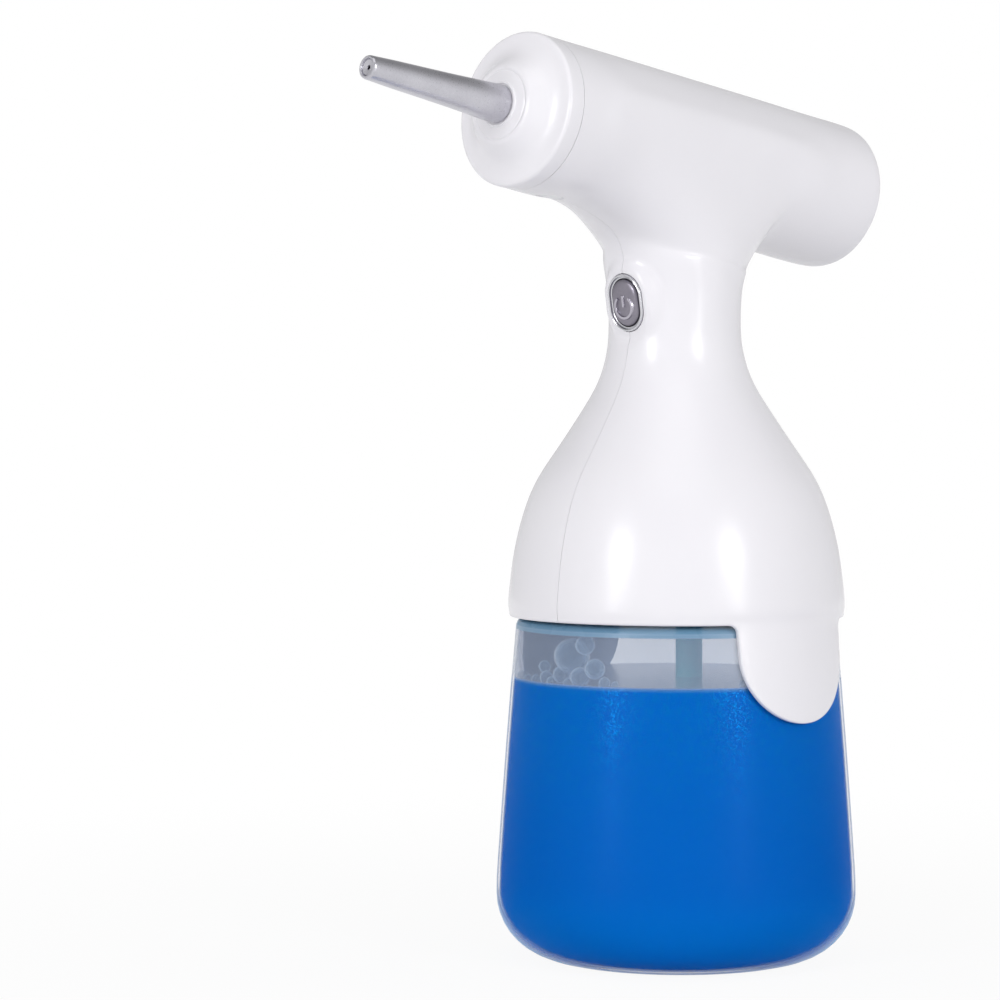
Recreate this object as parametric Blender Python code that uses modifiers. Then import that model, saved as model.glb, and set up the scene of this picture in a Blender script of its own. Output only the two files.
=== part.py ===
"""Automatic foaming soap dispenser.

A white T-shaped head unit with a long foam nozzle stands on a screw-on bottle. Metres, +Z up. The origin is
the centre of the bottle's flat base, the nozzle points to -Y and the object's left side is +X.
"""

import math

import bmesh
import bpy
import numpy as np
from mathutils import Matrix, Vector

MM = 0.001
GAP = 0.3 * MM           # clearance between pieces that touch
OVERRUN = 2.0 * MM       # how far a cutter runs past what it cuts
ROOT = 0.8 * MM          # how far an inner rib or post is rooted in the shell's wall

LARGE_STEPS = 32         # facets round the bottle and bell
MEDIUM_STEPS = 24
SMALL_STEPS = 16

# Bottle
BOTTLE_RADIUS = 40.4 * MM
BOTTLE_TAPER = 4.5 * MM   # how much narrower the bottle is at its shoulder
BOTTLE_WIDEST_HEIGHT = 16.0 * MM
BOTTLE_CORNER = 14.5 * MM
SHOULDER_HEIGHT = 76.4 * MM
SHOULDER_ROUND = 1.6 * MM
BOTTLE_WALL = 1.6 * MM
BOTTLE_FLOOR = 2.0 * MM
SHOULDER_STEP = 9.1 * MM  # shoulder's width, in to the mouth
MOUTH_HEIGHT = 11.8 * MM  # mouth above the shoulder
CORNER_TURNS = 5

# Four-start thread between the bottle and the head unit
THREAD_LEAD = 24.0 * MM
THREAD_STARTS = 4
THREAD_BEAD = 1.3 * MM    # radius of one bead
THREAD_BITE = 0.6 * MM    # how far the beads lie behind each other
THREAD_SWEEP = math.radians(100)
THREAD_STEPS = 9
THREAD_SHIFT = math.radians(7)
THREAD_RISE = 2.8 * MM    # first bead above the shoulder
COLLAR_THREAD_RISE = 1.0 * MM

# Head unit
HEAD_RISE = 37.3 * MM     # head axis above the neck's waist, on the neck's centre line
HEAD_TILT = math.radians(8.2)
HEAD_RADIUS = 16.9 * MM
HEAD_FRONT = 47.0 * MM    # seam of the front cap, ahead of the neck's centre line
HEAD_REAR = 52.3 * MM
HEAD_EDGE = 3.6 * MM      # rounding of the rear end
HALFWAY = 1 - math.sqrt(0.5)  # middle of a round corner, as a share of its radius
SHELL_WALL = 1.6 * MM
BELL_STEP = 1.8 * MM      # bell's widest radius beyond the bottle's shoulder
NECK_RADIUS = 14.85 * MM
BELL_HEIGHT = 66.3 * MM   # rim to the neck's waist
NECK_OPENING_FRONT = 31.0 * MM
NECK_OPENING_REAR = 24.0 * MM
FLARE_DROPS = (2.9 * MM, 7.7 * MM)       # rings of the flare, below the head's underside
FLARE_SIDES = (1.25 * MM, 0.75 * MM)     # and beyond the neck's radius
FLARE_FRONTS = (7.15 * MM, 2.35 * MM)
FLARE_REARS = (4.35 * MM, 1.35 * MM)
NECK_EASE = 0.45 * MM    # how much the neck has widened halfway from its waist to the flare
NECK_EASE_SHARE = 0.575
# height as a share of rim to waist, and radius as a share of neck to bell
BELL_SHARES = ((1.0, 0.0), (0.9, 0.02), (0.8, 0.105), (0.698, 0.274), (0.563, 0.532),
               (0.427, 0.772), (0.262, 0.922), (0.08, 1.0), (0.0, 0.982))
HEAD_STEPS = 12
QUARTER = 5

# Drip tongues that hang from the rim over the bottle
TONGUE_WIDTH = 32.8 * MM
TONGUE_ROOT_WIDTH = 34.6 * MM
TONGUE_LENGTH = 21.7 * MM
TONGUE_CLEARANCE = 0.7 * MM

# Front cap
CAP_THICKNESS = 4.0 * MM  # seam to the disc's face
CAP_EDGE = 0.9 * MM
CAP_BOSS = 4.4 * MM       # boss ahead of the disc's face
CAP_BOSS_RADIUS = 7.8 * MM
CAP_WALL = 1.8 * MM
CAP_SPIGOT = 3.8 * MM
CAP_SPIGOT_WALL = 1.4 * MM
CAP_SLEEVE = 7.0 * MM
CAP_SLEEVE_WALL = 1.4 * MM
CAP_SLOPE_SHARES = ((0.10, 0.90), (0.30, 0.48), (0.55, 0.17), (0.80, 0.03))

# Nozzle
NOZZLE_LENGTH = 38.0 * MM
NOZZLE_BASE_RADIUS = 4.3 * MM
NOZZLE_TIP_RADIUS = 2.35 * MM
NOZZLE_SPIGOT_RADIUS = 3.2 * MM
NOZZLE_SPIGOT = 5.6 * MM
NOZZLE_BORE = 1.3 * MM
NOZZLE_ROUND = 0.4 * MM
TIP_RADIUS = 1.5 * MM
TIP_THICKNESS = 0.8 * MM
TIP_RECESS = 0.3 * MM
ORIFICE = 0.5 * MM

# Power button on the front of the neck
BUTTON_RISE = 3.8 * MM    # above the neck's waist
BUTTON_LEAN = math.radians(10)
BEZEL_WIDTH = 10.0 * MM
BEZEL_TALL = 12.9 * MM
BEZEL_RIM = 1.1 * MM
BEZEL_STAND = 2.05 * MM   # bezel's face ahead of the neck
BEZEL_DEPTH = 3.6 * MM
BOSS_RIM = 1.7 * MM
BOSS_STAND = 1.35 * MM
BUTTON_RECESS = 0.6 * MM
BUTTON_BODY = 3.4 * MM
BUTTON_FLANGE = 0.8 * MM
BUTTON_FLANGE_THICKNESS = 1.0 * MM
BUTTON_STEM_RADIUS = 1.5 * MM
BUTTON_STEM = 1.6 * MM
SWITCH_SIZE = 6.0 * MM
SWITCH_THICKNESS = 3.5 * MM
PLUNGER_RADIUS = 1.6 * MM
PLUNGER_REACH = 0.8 * MM
PLUNGER_DEPTH = 1.6 * MM
SWITCH_BOARD_WIDTH = 12.0 * MM
SWITCH_BOARD_TALL = 16.0 * MM
BOARD_THICKNESS = 1.2 * MM
BOARD_POST = 1.8 * MM
BOARD_POST_TALL = 3.6 * MM
BOARD_LAP = 1.6 * MM

# Thread collar, pump and motor in the bell
COLLAR_WALL = 2.2 * MM
COLLAR_PLATE = 2.0 * MM
COLLAR_LIFT = 2.0 * MM    # collar's lower edge above the shoulder
RIB_THICKNESS = 2.0 * MM
RIB_REACH = 2.9 * MM      # ribs that hold the collar's flange
GASKET_THICKNESS = 1.2 * MM
GASKET_WIDTH = 2.6 * MM
PUMP_RADIUS = 15.0 * MM
PUMP_HEIGHT = 11.0 * MM
PUMP_COVER = 2.5 * MM
GEAR_CENTRES = 8.4 * MM
GEAR_TIP = 4.75 * MM
GEAR_ROOT = 3.3 * MM
GEAR_WIDTH = 6.0 * MM
GEAR_TEETH = 10
TOOTH_SHARES = ((-0.29, 0), (-0.11, 1), (0.11, 1), (0.29, 0))
SHAFT_RADIUS = 1.0 * MM
IDLER_PIN_SINK = 2.0 * MM
SEAL_RADIUS = 2.6 * MM
SEAL_THICKNESS = 1.0 * MM
MOTOR_RADIUS = 8.0 * MM
MOTOR_LENGTH = 19.0 * MM
MOTOR_CAP_LENGTH = 2.6 * MM
MOTOR_CAP_RADIUS = 7.4 * MM
MOTOR_CUP_WALL = 1.5 * MM
MOTOR_CUP = 7.0 * MM
SHAFT_IN_MOTOR = 6.0 * MM
PORT_OFFSET = 4.0 * MM    # pump ports beside the gears' mesh
PORT_RADIUS = 1.1 * MM
OUTLET_PLACE = (-11.2 * MM, -4.2 * MM)
CHANNEL_DEPTH = 1.6 * MM
SPIGOT_WALL = 0.7 * MM
SPIGOT_LENGTH = 5.0 * MM
SCREW_CIRCLE = 12.7 * MM
SCREW_ANGLES = tuple(math.radians(angle) for angle in (12, 168, 238, 305))
SCREW_RADIUS = 1.0 * MM
SCREW_HEAD_RADIUS = 1.9 * MM
SCREW_HEAD = 1.4 * MM
SCREW_SLOT = 0.7 * MM

# Tubes
TUBE_RADIUS = 3.0 * MM    # dip tube
TUBE_WALL = 0.7 * MM
FILTER_RADIUS = 5.0 * MM
FILTER_HEIGHT = 7.0 * MM
FILTER_CLEAR = 1.0 * MM   # filter above the bottle's floor
FILTER_FLOOR = 1.4 * MM
FILTER_SLOT = 2.2 * MM
HOSE_RADIUS = 2.5 * MM
HOSE_WALL = 0.7 * MM
HOSE_STEPS = 30
LEAD_STEPS = 16

# Foam chamber in the head
CHAMBER_RADIUS = 6.5 * MM
CHAMBER_WALL = 1.2 * MM
CHAMBER_REAR = 22.0 * MM
CHAMBER_SPIGOT = 5.0 * MM
SCREEN_THICKNESS = 0.8 * MM
SCREEN_PLACES = (31.0 * MM, 41.0 * MM)
VALVE_PLACE = 24.6 * MM
VALVE_HOLE = 1.2 * MM
RING_SEAL = 1.0 * MM

# Battery and electronics in the head
BATTERY_RADIUS = 7.1 * MM
BATTERY_LENGTH = 48.0 * MM
BATTERY_LIFT = 3.5 * MM
BATTERY_REAR = 49.5 * MM
BATTERY_NIPPLE = 1.0 * MM
BATTERY_NIPPLE_RADIUS = 2.6 * MM
CRADLE_WIDTH = 12.0 * MM
CRADLE_LENGTH = 40.0 * MM
CRADLE_THICKNESS = 1.4 * MM
MAIN_BOARD_WIDTH = 24.0 * MM
MAIN_BOARD_LENGTH = 34.0 * MM
RAIL_HEIGHT = 1.6 * MM
PORT_WIDTH = 9.0 * MM
PORT_TALL = 3.2 * MM
PORT_DEPTH = 7.3 * MM
PORT_WALL = 0.4 * MM
PORT_POCKET = 5.0 * MM
PLUG_WIDTH = 13.0 * MM
PLUG_TALL = 7.0 * MM
PLUG_THICKNESS = 1.2 * MM
PLUG_TONGUE = 1.1 * MM
PLUG_EASE = 0.5 * MM      # round the plug's tongue in the port's mouth
PLUG_ROUND = 1.6 * MM

# Hand sensor under the front of the head
SENSOR_PLACE = 38.0 * MM
SENSOR_LENGTH = 6.4 * MM
SENSOR_WIDTH = 4.6 * MM
SENSOR_SINK = 0.3 * MM
SENSOR_THICKNESS = 1.4 * MM
SENSOR_BOARD_WIDTH = 10.0 * MM
SENSOR_BOARD_LENGTH = 9.0 * MM
SENSOR_BOARD_DROP = 11.2 * MM
SENSOR_POST = 2.0 * MM
EYE_RADIUS = 1.2 * MM
EYE_SPACING = 3.2 * MM

# Locating pins between the two shells
PIN_RISE = 11.0 * MM      # above the collar's plate
PIN_PLACE_SHARES = (-0.66, 0.66)         # of the bell's inner radius, front and rear
PIN_RADIUS = 1.2 * MM
PIN_LENGTH = 5.0 * MM
PIN_BOSS_RADIUS = 2.6 * MM

# Motor leads
LEAD_RADIUS = 0.7 * MM

# Places that follow from the sizes above
BOTTLE_TOP_RADIUS = BOTTLE_RADIUS - BOTTLE_TAPER
MOUTH_RADIUS = BOTTLE_TOP_RADIUS - SHOULDER_STEP
BELL_RADIUS = BOTTLE_TOP_RADIUS + BELL_STEP
RIM_HEIGHT = SHOULDER_HEIGHT + GAP
WAIST_HEIGHT = RIM_HEIGHT + BELL_HEIGHT
HEAD_HEIGHT = WAIST_HEIGHT + HEAD_RISE
BUTTON_HEIGHT = WAIST_HEIGHT + BUTTON_RISE
BEZEL_FACE = NECK_RADIUS + BEZEL_STAND
BOSS_FACE = NECK_RADIUS + BOSS_STAND
MOUTH_TOP = SHOULDER_HEIGHT + MOUTH_HEIGHT
GASKET_BOTTOM = MOUTH_TOP + GAP
PLATE_BOTTOM = GASKET_BOTTOM + GASKET_THICKNESS + GAP
PLATE_TOP = PLATE_BOTTOM + COLLAR_PLATE
PUMP_BOTTOM = PLATE_TOP + GAP
PUMP_TOP = PUMP_BOTTOM + PUMP_HEIGHT
COVER_BOTTOM = PUMP_TOP + GAP
COVER_TOP = COVER_BOTTOM + PUMP_COVER
MOTOR_BOTTOM = COVER_TOP + GAP
MOTOR_TOP = MOTOR_BOTTOM + MOTOR_LENGTH
GEAR_TOP = PUMP_TOP - GAP
GEAR_BOTTOM = GEAR_TOP - GEAR_WIDTH
MOTOR_Y = GEAR_CENTRES / 2
CAP_FACE = HEAD_FRONT + GAP + CAP_THICKNESS
BOSS_PLANE = CAP_FACE + CAP_BOSS
HEAD_BORE = HEAD_RADIUS - SHELL_WALL
BEZEL_BACK = BEZEL_FACE - BEZEL_DEPTH
BUTTON_FACE = BEZEL_FACE - BUTTON_RECESS
FLANGE_BACK = BUTTON_FACE - BUTTON_BODY - BUTTON_FLANGE_THICKNESS
STEM_END = FLANGE_BACK - BUTTON_STEM
PLUNGER_TOP = STEM_END - GAP
SWITCH_TOP = PLUNGER_TOP - PLUNGER_REACH
SWITCH_BACK = SWITCH_TOP - SWITCH_THICKNESS
BOARD_FRONT = SWITCH_BACK - GAP
BOARD_BACK = BOARD_FRONT - BOARD_THICKNESS
BATTERY_BOTTOM = BATTERY_LIFT - BATTERY_RADIUS
CRADLE_TOP = BATTERY_BOTTOM - GAP
MAIN_TOP = CRADLE_TOP - CRADLE_THICKNESS - GAP
MAIN_BOTTOM = MAIN_TOP - BOARD_THICKNESS
PORT_CENTRE = MAIN_BOTTOM - GAP - PORT_TALL / 2
DIP_TOP = PUMP_BOTTOM - GAP
FILTER_BOTTOM = BOTTLE_FLOOR + FILTER_CLEAR
DIP_BOTTOM = FILTER_BOTTOM + FILTER_FLOOR + FILTER_SLOT + GAP
THREAD_BORE = MOUTH_RADIUS + 2 * THREAD_BEAD - THREAD_BITE

# The head's own frame: +X to the object's left, +Y up, +Z forwards along the tilted axis
HEAD = Matrix.Translation((0, 0, HEAD_HEIGHT)) @ Matrix.Rotation(math.pi / 2 - HEAD_TILT, 4, "X")
# The button's frame: +Z out of the front of the neck, leaning down about the middle of the bezel
FRONT = (Matrix.Translation((0, -BOSS_FACE, BUTTON_HEIGHT))
         @ Matrix.Rotation(math.pi / 2 + BUTTON_LEAN, 4, "X") @ Matrix.Translation((0, 0, -BOSS_FACE)))


for old in list(bpy.data.objects):
    bpy.data.objects.remove(old)

parts = bpy.data.collections.new("soap_dispenser")
cutters = bpy.data.collections.new("cutters")
bpy.context.scene.collection.children.link(parts)
bpy.context.scene.collection.children.link(cutters)


def material(name, color, roughness, metallic=0.0, alpha=1.0):
    made = bpy.data.materials.new(name)
    made.use_nodes = True
    shader = made.node_tree.nodes["Principled BSDF"]
    shader.inputs["Base Color"].default_value = (*color, 1.0)
    shader.inputs["Roughness"].default_value = roughness
    shader.inputs["Metallic"].default_value = metallic
    shader.inputs["Alpha"].default_value = alpha
    return made


WHITE = material("white_shell", (0.87, 0.87, 0.90), 0.25)
SATIN = material("satin_metal", (0.62, 0.62, 0.66), 0.32, 1.0)
CHROME = material("bright_bezel", (0.80, 0.80, 0.83), 0.15, 1.0)
FROSTED = material("frosted_bottle", (0.10, 0.38, 0.80), 0.35, 0.0, 0.6)
TEAL = material("dip_tube_plastic", (0.45, 0.72, 0.74), 0.4)
CLEAR = material("clear_hose", (0.80, 0.84, 0.86), 0.3)
NATURAL = material("natural_plastic", (0.78, 0.79, 0.80), 0.45)
RUBBER = material("seal_rubber", (0.12, 0.12, 0.13), 0.8)
SILICONE = material("white_silicone", (0.84, 0.84, 0.86), 0.6)
STEEL = material("bright_steel", (0.60, 0.60, 0.62), 0.3, 1.0)
BOARD = material("circuit_board", (0.04, 0.22, 0.10), 0.5)
BLACK = material("black_plastic", (0.03, 0.03, 0.035), 0.5)
WRAP = material("battery_wrap", (0.10, 0.25, 0.50), 0.4)
SMOKED = material("sensor_lens", (0.75, 0.75, 0.78), 0.2)
RED = material("red_lead", (0.60, 0.04, 0.03), 0.5)


def finish(obj, look, frame):
    """Give the object its look and place, shaded smooth over its rounds."""
    obj.data.materials.append(look)
    obj.data.shade_smooth()
    obj.data.set_sharp_from_angle(angle=math.radians(35))
    obj.matrix_world = frame
    return obj


def made_object(name, mesh, role):
    obj = bpy.data.objects.new(name, mesh)
    if role == "part":
        parts.objects.link(obj)
    else:
        cutters.objects.link(obj)
        obj.hide_render = True
        obj.display_type = "WIRE"
    return obj


def turned(name, look, outline, frame=Matrix(), steps=MEDIUM_STEPS, role="part"):
    """A solid turned about its own Z from (radius, height) points that run down its outer side."""
    points = [(radius, 0, height) for radius, height in outline]
    count = len(points)
    pairs = [(index, (index + 1) % count) for index in range(count)]
    edges = [pair for pair in pairs if points[pair[0]][0] > 0 or points[pair[1]][0] > 0]
    mesh = bpy.data.meshes.new(name)
    mesh.from_pydata(points, edges, [])
    obj = made_object(name, mesh, role)
    screw = obj.modifiers.new("turn", "SCREW")
    screw.steps = steps
    screw.render_steps = steps
    screw.use_merge_vertices = True
    screw.merge_threshold = 0.00001
    return finish(obj, look, frame)


def rod(name, look, radius, low, high, frame=Matrix(), steps=SMALL_STEPS, role="part"):
    """A plain round bar along its frame's Z, from low to high."""
    bm = bmesh.new()
    middle = Matrix.Translation((0, 0, (low + high) / 2))
    bmesh.ops.create_cone(bm, cap_ends=True, segments=steps, radius1=radius, radius2=radius,
                          depth=high - low, matrix=middle)
    mesh = bpy.data.meshes.new(name)
    bm.to_mesh(mesh)
    bm.free()
    return finish(made_object(name, mesh, role), look, frame)


def block(name, look, low, high, frame=Matrix(), bevel=0.0, role="part"):
    """A box between two corners of its frame, with rounded edges when bevel is given."""
    low, high = Vector(low), Vector(high)
    bm = bmesh.new()
    place = Matrix.Translation((low + high) / 2) @ Matrix.Diagonal((*(high - low), 1))
    bmesh.ops.create_cube(bm, size=1, matrix=place)
    mesh = bpy.data.meshes.new(name)
    bm.to_mesh(mesh)
    bm.free()
    obj = finish(made_object(name, mesh, role), look, frame)
    if bevel:
        edge = obj.modifiers.new("edges", "BEVEL")
        edge.width = bevel
        edge.segments = 2
    return obj


def mesh_of(curve_object, name, role, look, frame):
    """Turn a curve into a welded mesh object in the same place."""
    bpy.context.view_layer.update()
    evaluated = curve_object.evaluated_get(bpy.context.evaluated_depsgraph_get())
    mesh = bpy.data.meshes.new_from_object(evaluated)
    bm = bmesh.new()
    bm.from_mesh(mesh)
    bmesh.ops.remove_doubles(bm, verts=bm.verts, dist=0.000001)
    bm.to_mesh(mesh)
    bm.free()
    mesh.materials.clear()
    bpy.data.objects.remove(curve_object)
    return finish(made_object(name, mesh, role), look, frame)


def extruded(name, look, outline, low, high, frame=Matrix(), role="part"):
    """A flat outline given thickness along its frame's Z, from low to high."""
    curve = bpy.data.curves.new(name, "CURVE")
    curve.dimensions = "2D"
    curve.fill_mode = "BOTH"
    curve.extrude = (high - low) / 2
    spline = curve.splines.new("POLY")
    spline.points.add(len(outline) - 1)
    for point, (across, up) in zip(spline.points, outline):
        point.co = (across, up, 0, 1)
    spline.use_cyclic_u = True
    drawn = bpy.data.objects.new(name, curve)
    cutters.objects.link(drawn)
    lifted = frame @ Matrix.Translation((0, 0, (low + high) / 2))
    return mesh_of(drawn, name, role, look, lifted)


def oval(width, tall, steps=8):
    """A slot-shaped outline, taller than it is wide, run counter-clockwise."""
    radius, straight = width / 2, (tall - width) / 2
    points = []
    for side in (1, -1):
        for step in range(steps + 1):
            turn = math.pi * step / steps
            points.append((side * radius * math.cos(turn), side * (straight + radius * math.sin(turn))))
    return points


def pipe(name, look, points, radius, sides=2, wall=0.0, role="part"):
    """A round bar or, with a wall, an open tube along the points."""
    curve = bpy.data.curves.new(name, "CURVE")
    curve.dimensions = "3D"
    curve.bevel_depth = radius
    curve.bevel_resolution = sides
    curve.use_fill_caps = not wall
    spline = curve.splines.new("POLY")
    spline.points.add(len(points) - 1)
    for point, place in zip(spline.points, points):
        point.co = (*place, 1)
    drawn = bpy.data.objects.new(name, curve)
    cutters.objects.link(drawn)
    obj = mesh_of(drawn, name, role, look, Matrix())
    if wall:
        shell = obj.modifiers.new("wall", "SOLIDIFY")
        shell.thickness = wall
        shell.offset = -1
    return obj


def smooth_route(places, count):
    """Points at even steps along a smooth curve through the route's own places."""
    places = [Vector(place) for place in places]
    ends = [2 * places[0] - places[1]] + places + [2 * places[-1] - places[-2]]
    route = []
    for index in range(count):
        along = (len(places) - 1) * index / (count - 1)
        leg = min(int(along), len(places) - 2)
        t = along - leg
        a, b, c, d = ends[leg:leg + 4]
        route.append(0.5 * (2 * b + (c - a) * t + (2 * a - 5 * b + 4 * c - d) * t ** 2
                            + (3 * b - a - 3 * c + d) * t ** 3))
    return route


def boolean(obj, other, operation):
    change = obj.modifiers.new(other.name, "BOOLEAN")
    change.operation = operation
    change.object = other
    return obj


def cut(obj, *others):
    for other in others:
        boolean(obj, other, "DIFFERENCE")
    return obj


def join(obj, *others):
    for other in others:
        boolean(obj, other, "UNION")
    return obj


def bottle_radius(height):
    """The bottle's outer radius on its cone, at a height between its widest place and its shoulder."""
    share = (height - BOTTLE_WIDEST_HEIGHT) / (SHOULDER_HEIGHT - BOTTLE_WIDEST_HEIGHT)
    return BOTTLE_RADIUS + share * (BOTTLE_TOP_RADIUS - BOTTLE_RADIUS)


def corner(centre, radius, start, end, turns=CORNER_TURNS):
    """Points of a round corner, from one angle to another."""
    angles = [start + (end - start) * step / turns for step in range(turns + 1)]
    return [(centre[0] + radius * math.cos(a), centre[1] + radius * math.sin(a)) for a in angles]


def helix(radius, height, start):
    """Points along one thread bead."""
    points = []
    for step in range(THREAD_STEPS):
        turn = THREAD_SWEEP * step / (THREAD_STEPS - 1)
        rise = THREAD_LEAD * turn / math.tau
        angle = start + turn
        points.append((radius * math.cos(angle), radius * math.sin(angle), height + rise))
    return points


def thread_beads(name, radius, height, shift):
    """The thread's beads as cutters, evenly round the axis."""
    beads = []
    for start in range(THREAD_STARTS):
        angle = math.tau * start / THREAD_STARTS + shift
        beads.append(pipe(f"{name}_{start}", NATURAL, helix(radius, height, angle), THREAD_BEAD,
                          sides=1, role="cutter"))
    return beads


def bottle():
    """A blow-moulded bottle with a flat foot, a slight taper and a wide threaded mouth."""
    foot = (BOTTLE_RADIUS - BOTTLE_CORNER, BOTTLE_CORNER)
    inner = BOTTLE_CORNER - BOTTLE_WALL
    top = SHOULDER_HEIGHT - SHOULDER_ROUND
    inner_foot = (foot[0], inner + BOTTLE_FLOOR)
    mouth_bore = MOUTH_RADIUS - BOTTLE_WALL
    inner_top = SHOULDER_HEIGHT - BOTTLE_WALL
    shoulder_in = BOTTLE_TOP_RADIUS - BOTTLE_WALL - SHOULDER_ROUND
    outline = [(mouth_bore, MOUTH_TOP), (MOUTH_RADIUS, MOUTH_TOP), (MOUTH_RADIUS, SHOULDER_HEIGHT)]
    outline += corner((BOTTLE_TOP_RADIUS - SHOULDER_ROUND, top), SHOULDER_ROUND, math.pi / 2, 0, 3)
    outline += [(BOTTLE_RADIUS, BOTTLE_WIDEST_HEIGHT)]
    outline += corner(foot, BOTTLE_CORNER, 0, -math.pi / 2)
    outline += [(0, 0), (0, BOTTLE_FLOOR)]
    outline += corner(inner_foot, inner, -math.pi / 2, 0)
    outline += [(BOTTLE_RADIUS - BOTTLE_WALL, BOTTLE_WIDEST_HEIGHT + BOTTLE_FLOOR)]
    outline += [(shoulder_in + SHOULDER_ROUND, top - BOTTLE_WALL), (shoulder_in, inner_top)]
    outline += [(mouth_bore, inner_top)]
    made = turned("bottle", FROSTED, outline, steps=LARGE_STEPS)
    join(made, *thread_beads("bottle_bead", MOUTH_RADIUS, SHOULDER_HEIGHT + THREAD_RISE, THREAD_SHIFT))


def gasket():
    """The flat ring on the bottle's mouth that seals against the collar's plate."""
    outer = MOUTH_RADIUS + GAP
    inner = outer - GASKET_WIDTH
    top = GASKET_BOTTOM + GASKET_THICKNESS
    turned("bottle_gasket", RUBBER, [(inner, top), (outer, top), (outer, GASKET_BOTTOM),
                                     (inner, GASKET_BOTTOM)], steps=LARGE_STEPS)


def column_angles(gathered):
    """Angles of the cage's columns round the neck, from the front; gathered 1 lines them up with the tongues."""
    half_width = math.asin(TONGUE_ROOT_WIDTH / 2 / BELL_RADIUS)
    tongue = math.pi / 2
    rim = [0, (tongue - half_width) / 3, (tongue - half_width) * 2 / 3, tongue - half_width,
           tongue - half_width / 2, tongue]
    even = [tongue * step / QUARTER for step in range(QUARTER + 1)]
    quarter = [a + (b - a) * gathered for a, b in zip(even, rim)]
    half = quarter + [math.pi - a for a in reversed(quarter[:-1])]
    return half + [math.tau - a for a in reversed(half[1:-1])]


def bell_ring(radius, height, gathered):
    return [Vector((radius * math.sin(a), -radius * math.cos(a), height)) for a in column_angles(gathered)]


def flare_ring(below, side, front, rear):
    """A ring parallel to the head's axis where the neck opens into the head."""
    drop = HEAD_RADIUS + below
    centre = -drop * math.tan(HEAD_TILT)
    points = []
    for a in column_angles(0):
        reach = NECK_RADIUS + (front if math.cos(a) > 0 else rear)
        across = (NECK_RADIUS + side) * math.sin(a)
        points.append(HEAD @ Vector((across, -drop, centre + reach * math.cos(a))))
    return points


def tongue_rows(middle):
    """Rows of points that carry the bell's surface down over the bottle, rounded off at the end."""
    radius = TONGUE_WIDTH / 2
    centre = RIM_HEIGHT - TONGUE_LENGTH + radius
    rows = []
    for reach, edge_turn in ((0.0, 0.0), (0.62, 26.0), (1.0, 62.0)):
        row = []
        for column in (-2, -1, 0, 1, 2):
            turn = math.radians(edge_turn)
            across = radius * math.cos(turn) * column / 2
            edge_height = centre - radius * math.sin(turn)
            middle_height = centre - radius * reach
            share = (column / 2) ** 2
            height = middle_height + (edge_height - middle_height) * share
            out = bottle_radius(height) + TONGUE_CLEARANCE + SHELL_WALL
            angle = middle + math.asin(across / out)
            row.append(Vector((out * math.sin(angle), -out * math.cos(angle), height)))
        rows.append(row)
    return rows


def pass_through(bm):
    """Move the cage's points so that the subdivided surface passes through where they were drawn."""
    bm.verts.index_update()
    weights = np.zeros((len(bm.verts), len(bm.verts)))
    for vert in bm.verts:
        row = weights[vert.index]
        if vert.is_boundary:
            row[vert.index] = 4 / 6
            for edge in vert.link_edges:
                if edge.is_boundary:
                    row[edge.other_vert(vert).index] = 1 / 6
        elif all(len(face.verts) == 4 for face in vert.link_faces):
            valence = len(vert.link_edges)
            whole = valence * (valence + 5)
            row[vert.index] = valence * valence / whole
            for edge in vert.link_edges:
                row[edge.other_vert(vert).index] += 4 / whole
            for face in vert.link_faces:
                corners = list(face.verts)
                row[corners[corners.index(vert) - 2].index] += 1 / whole
        else:
            row[vert.index] = 1
    drawn = np.array([vert.co[:] for vert in bm.verts])
    for vert, place in zip(bm.verts, np.linalg.solve(weights, drawn)):
        vert.co = place


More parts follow.
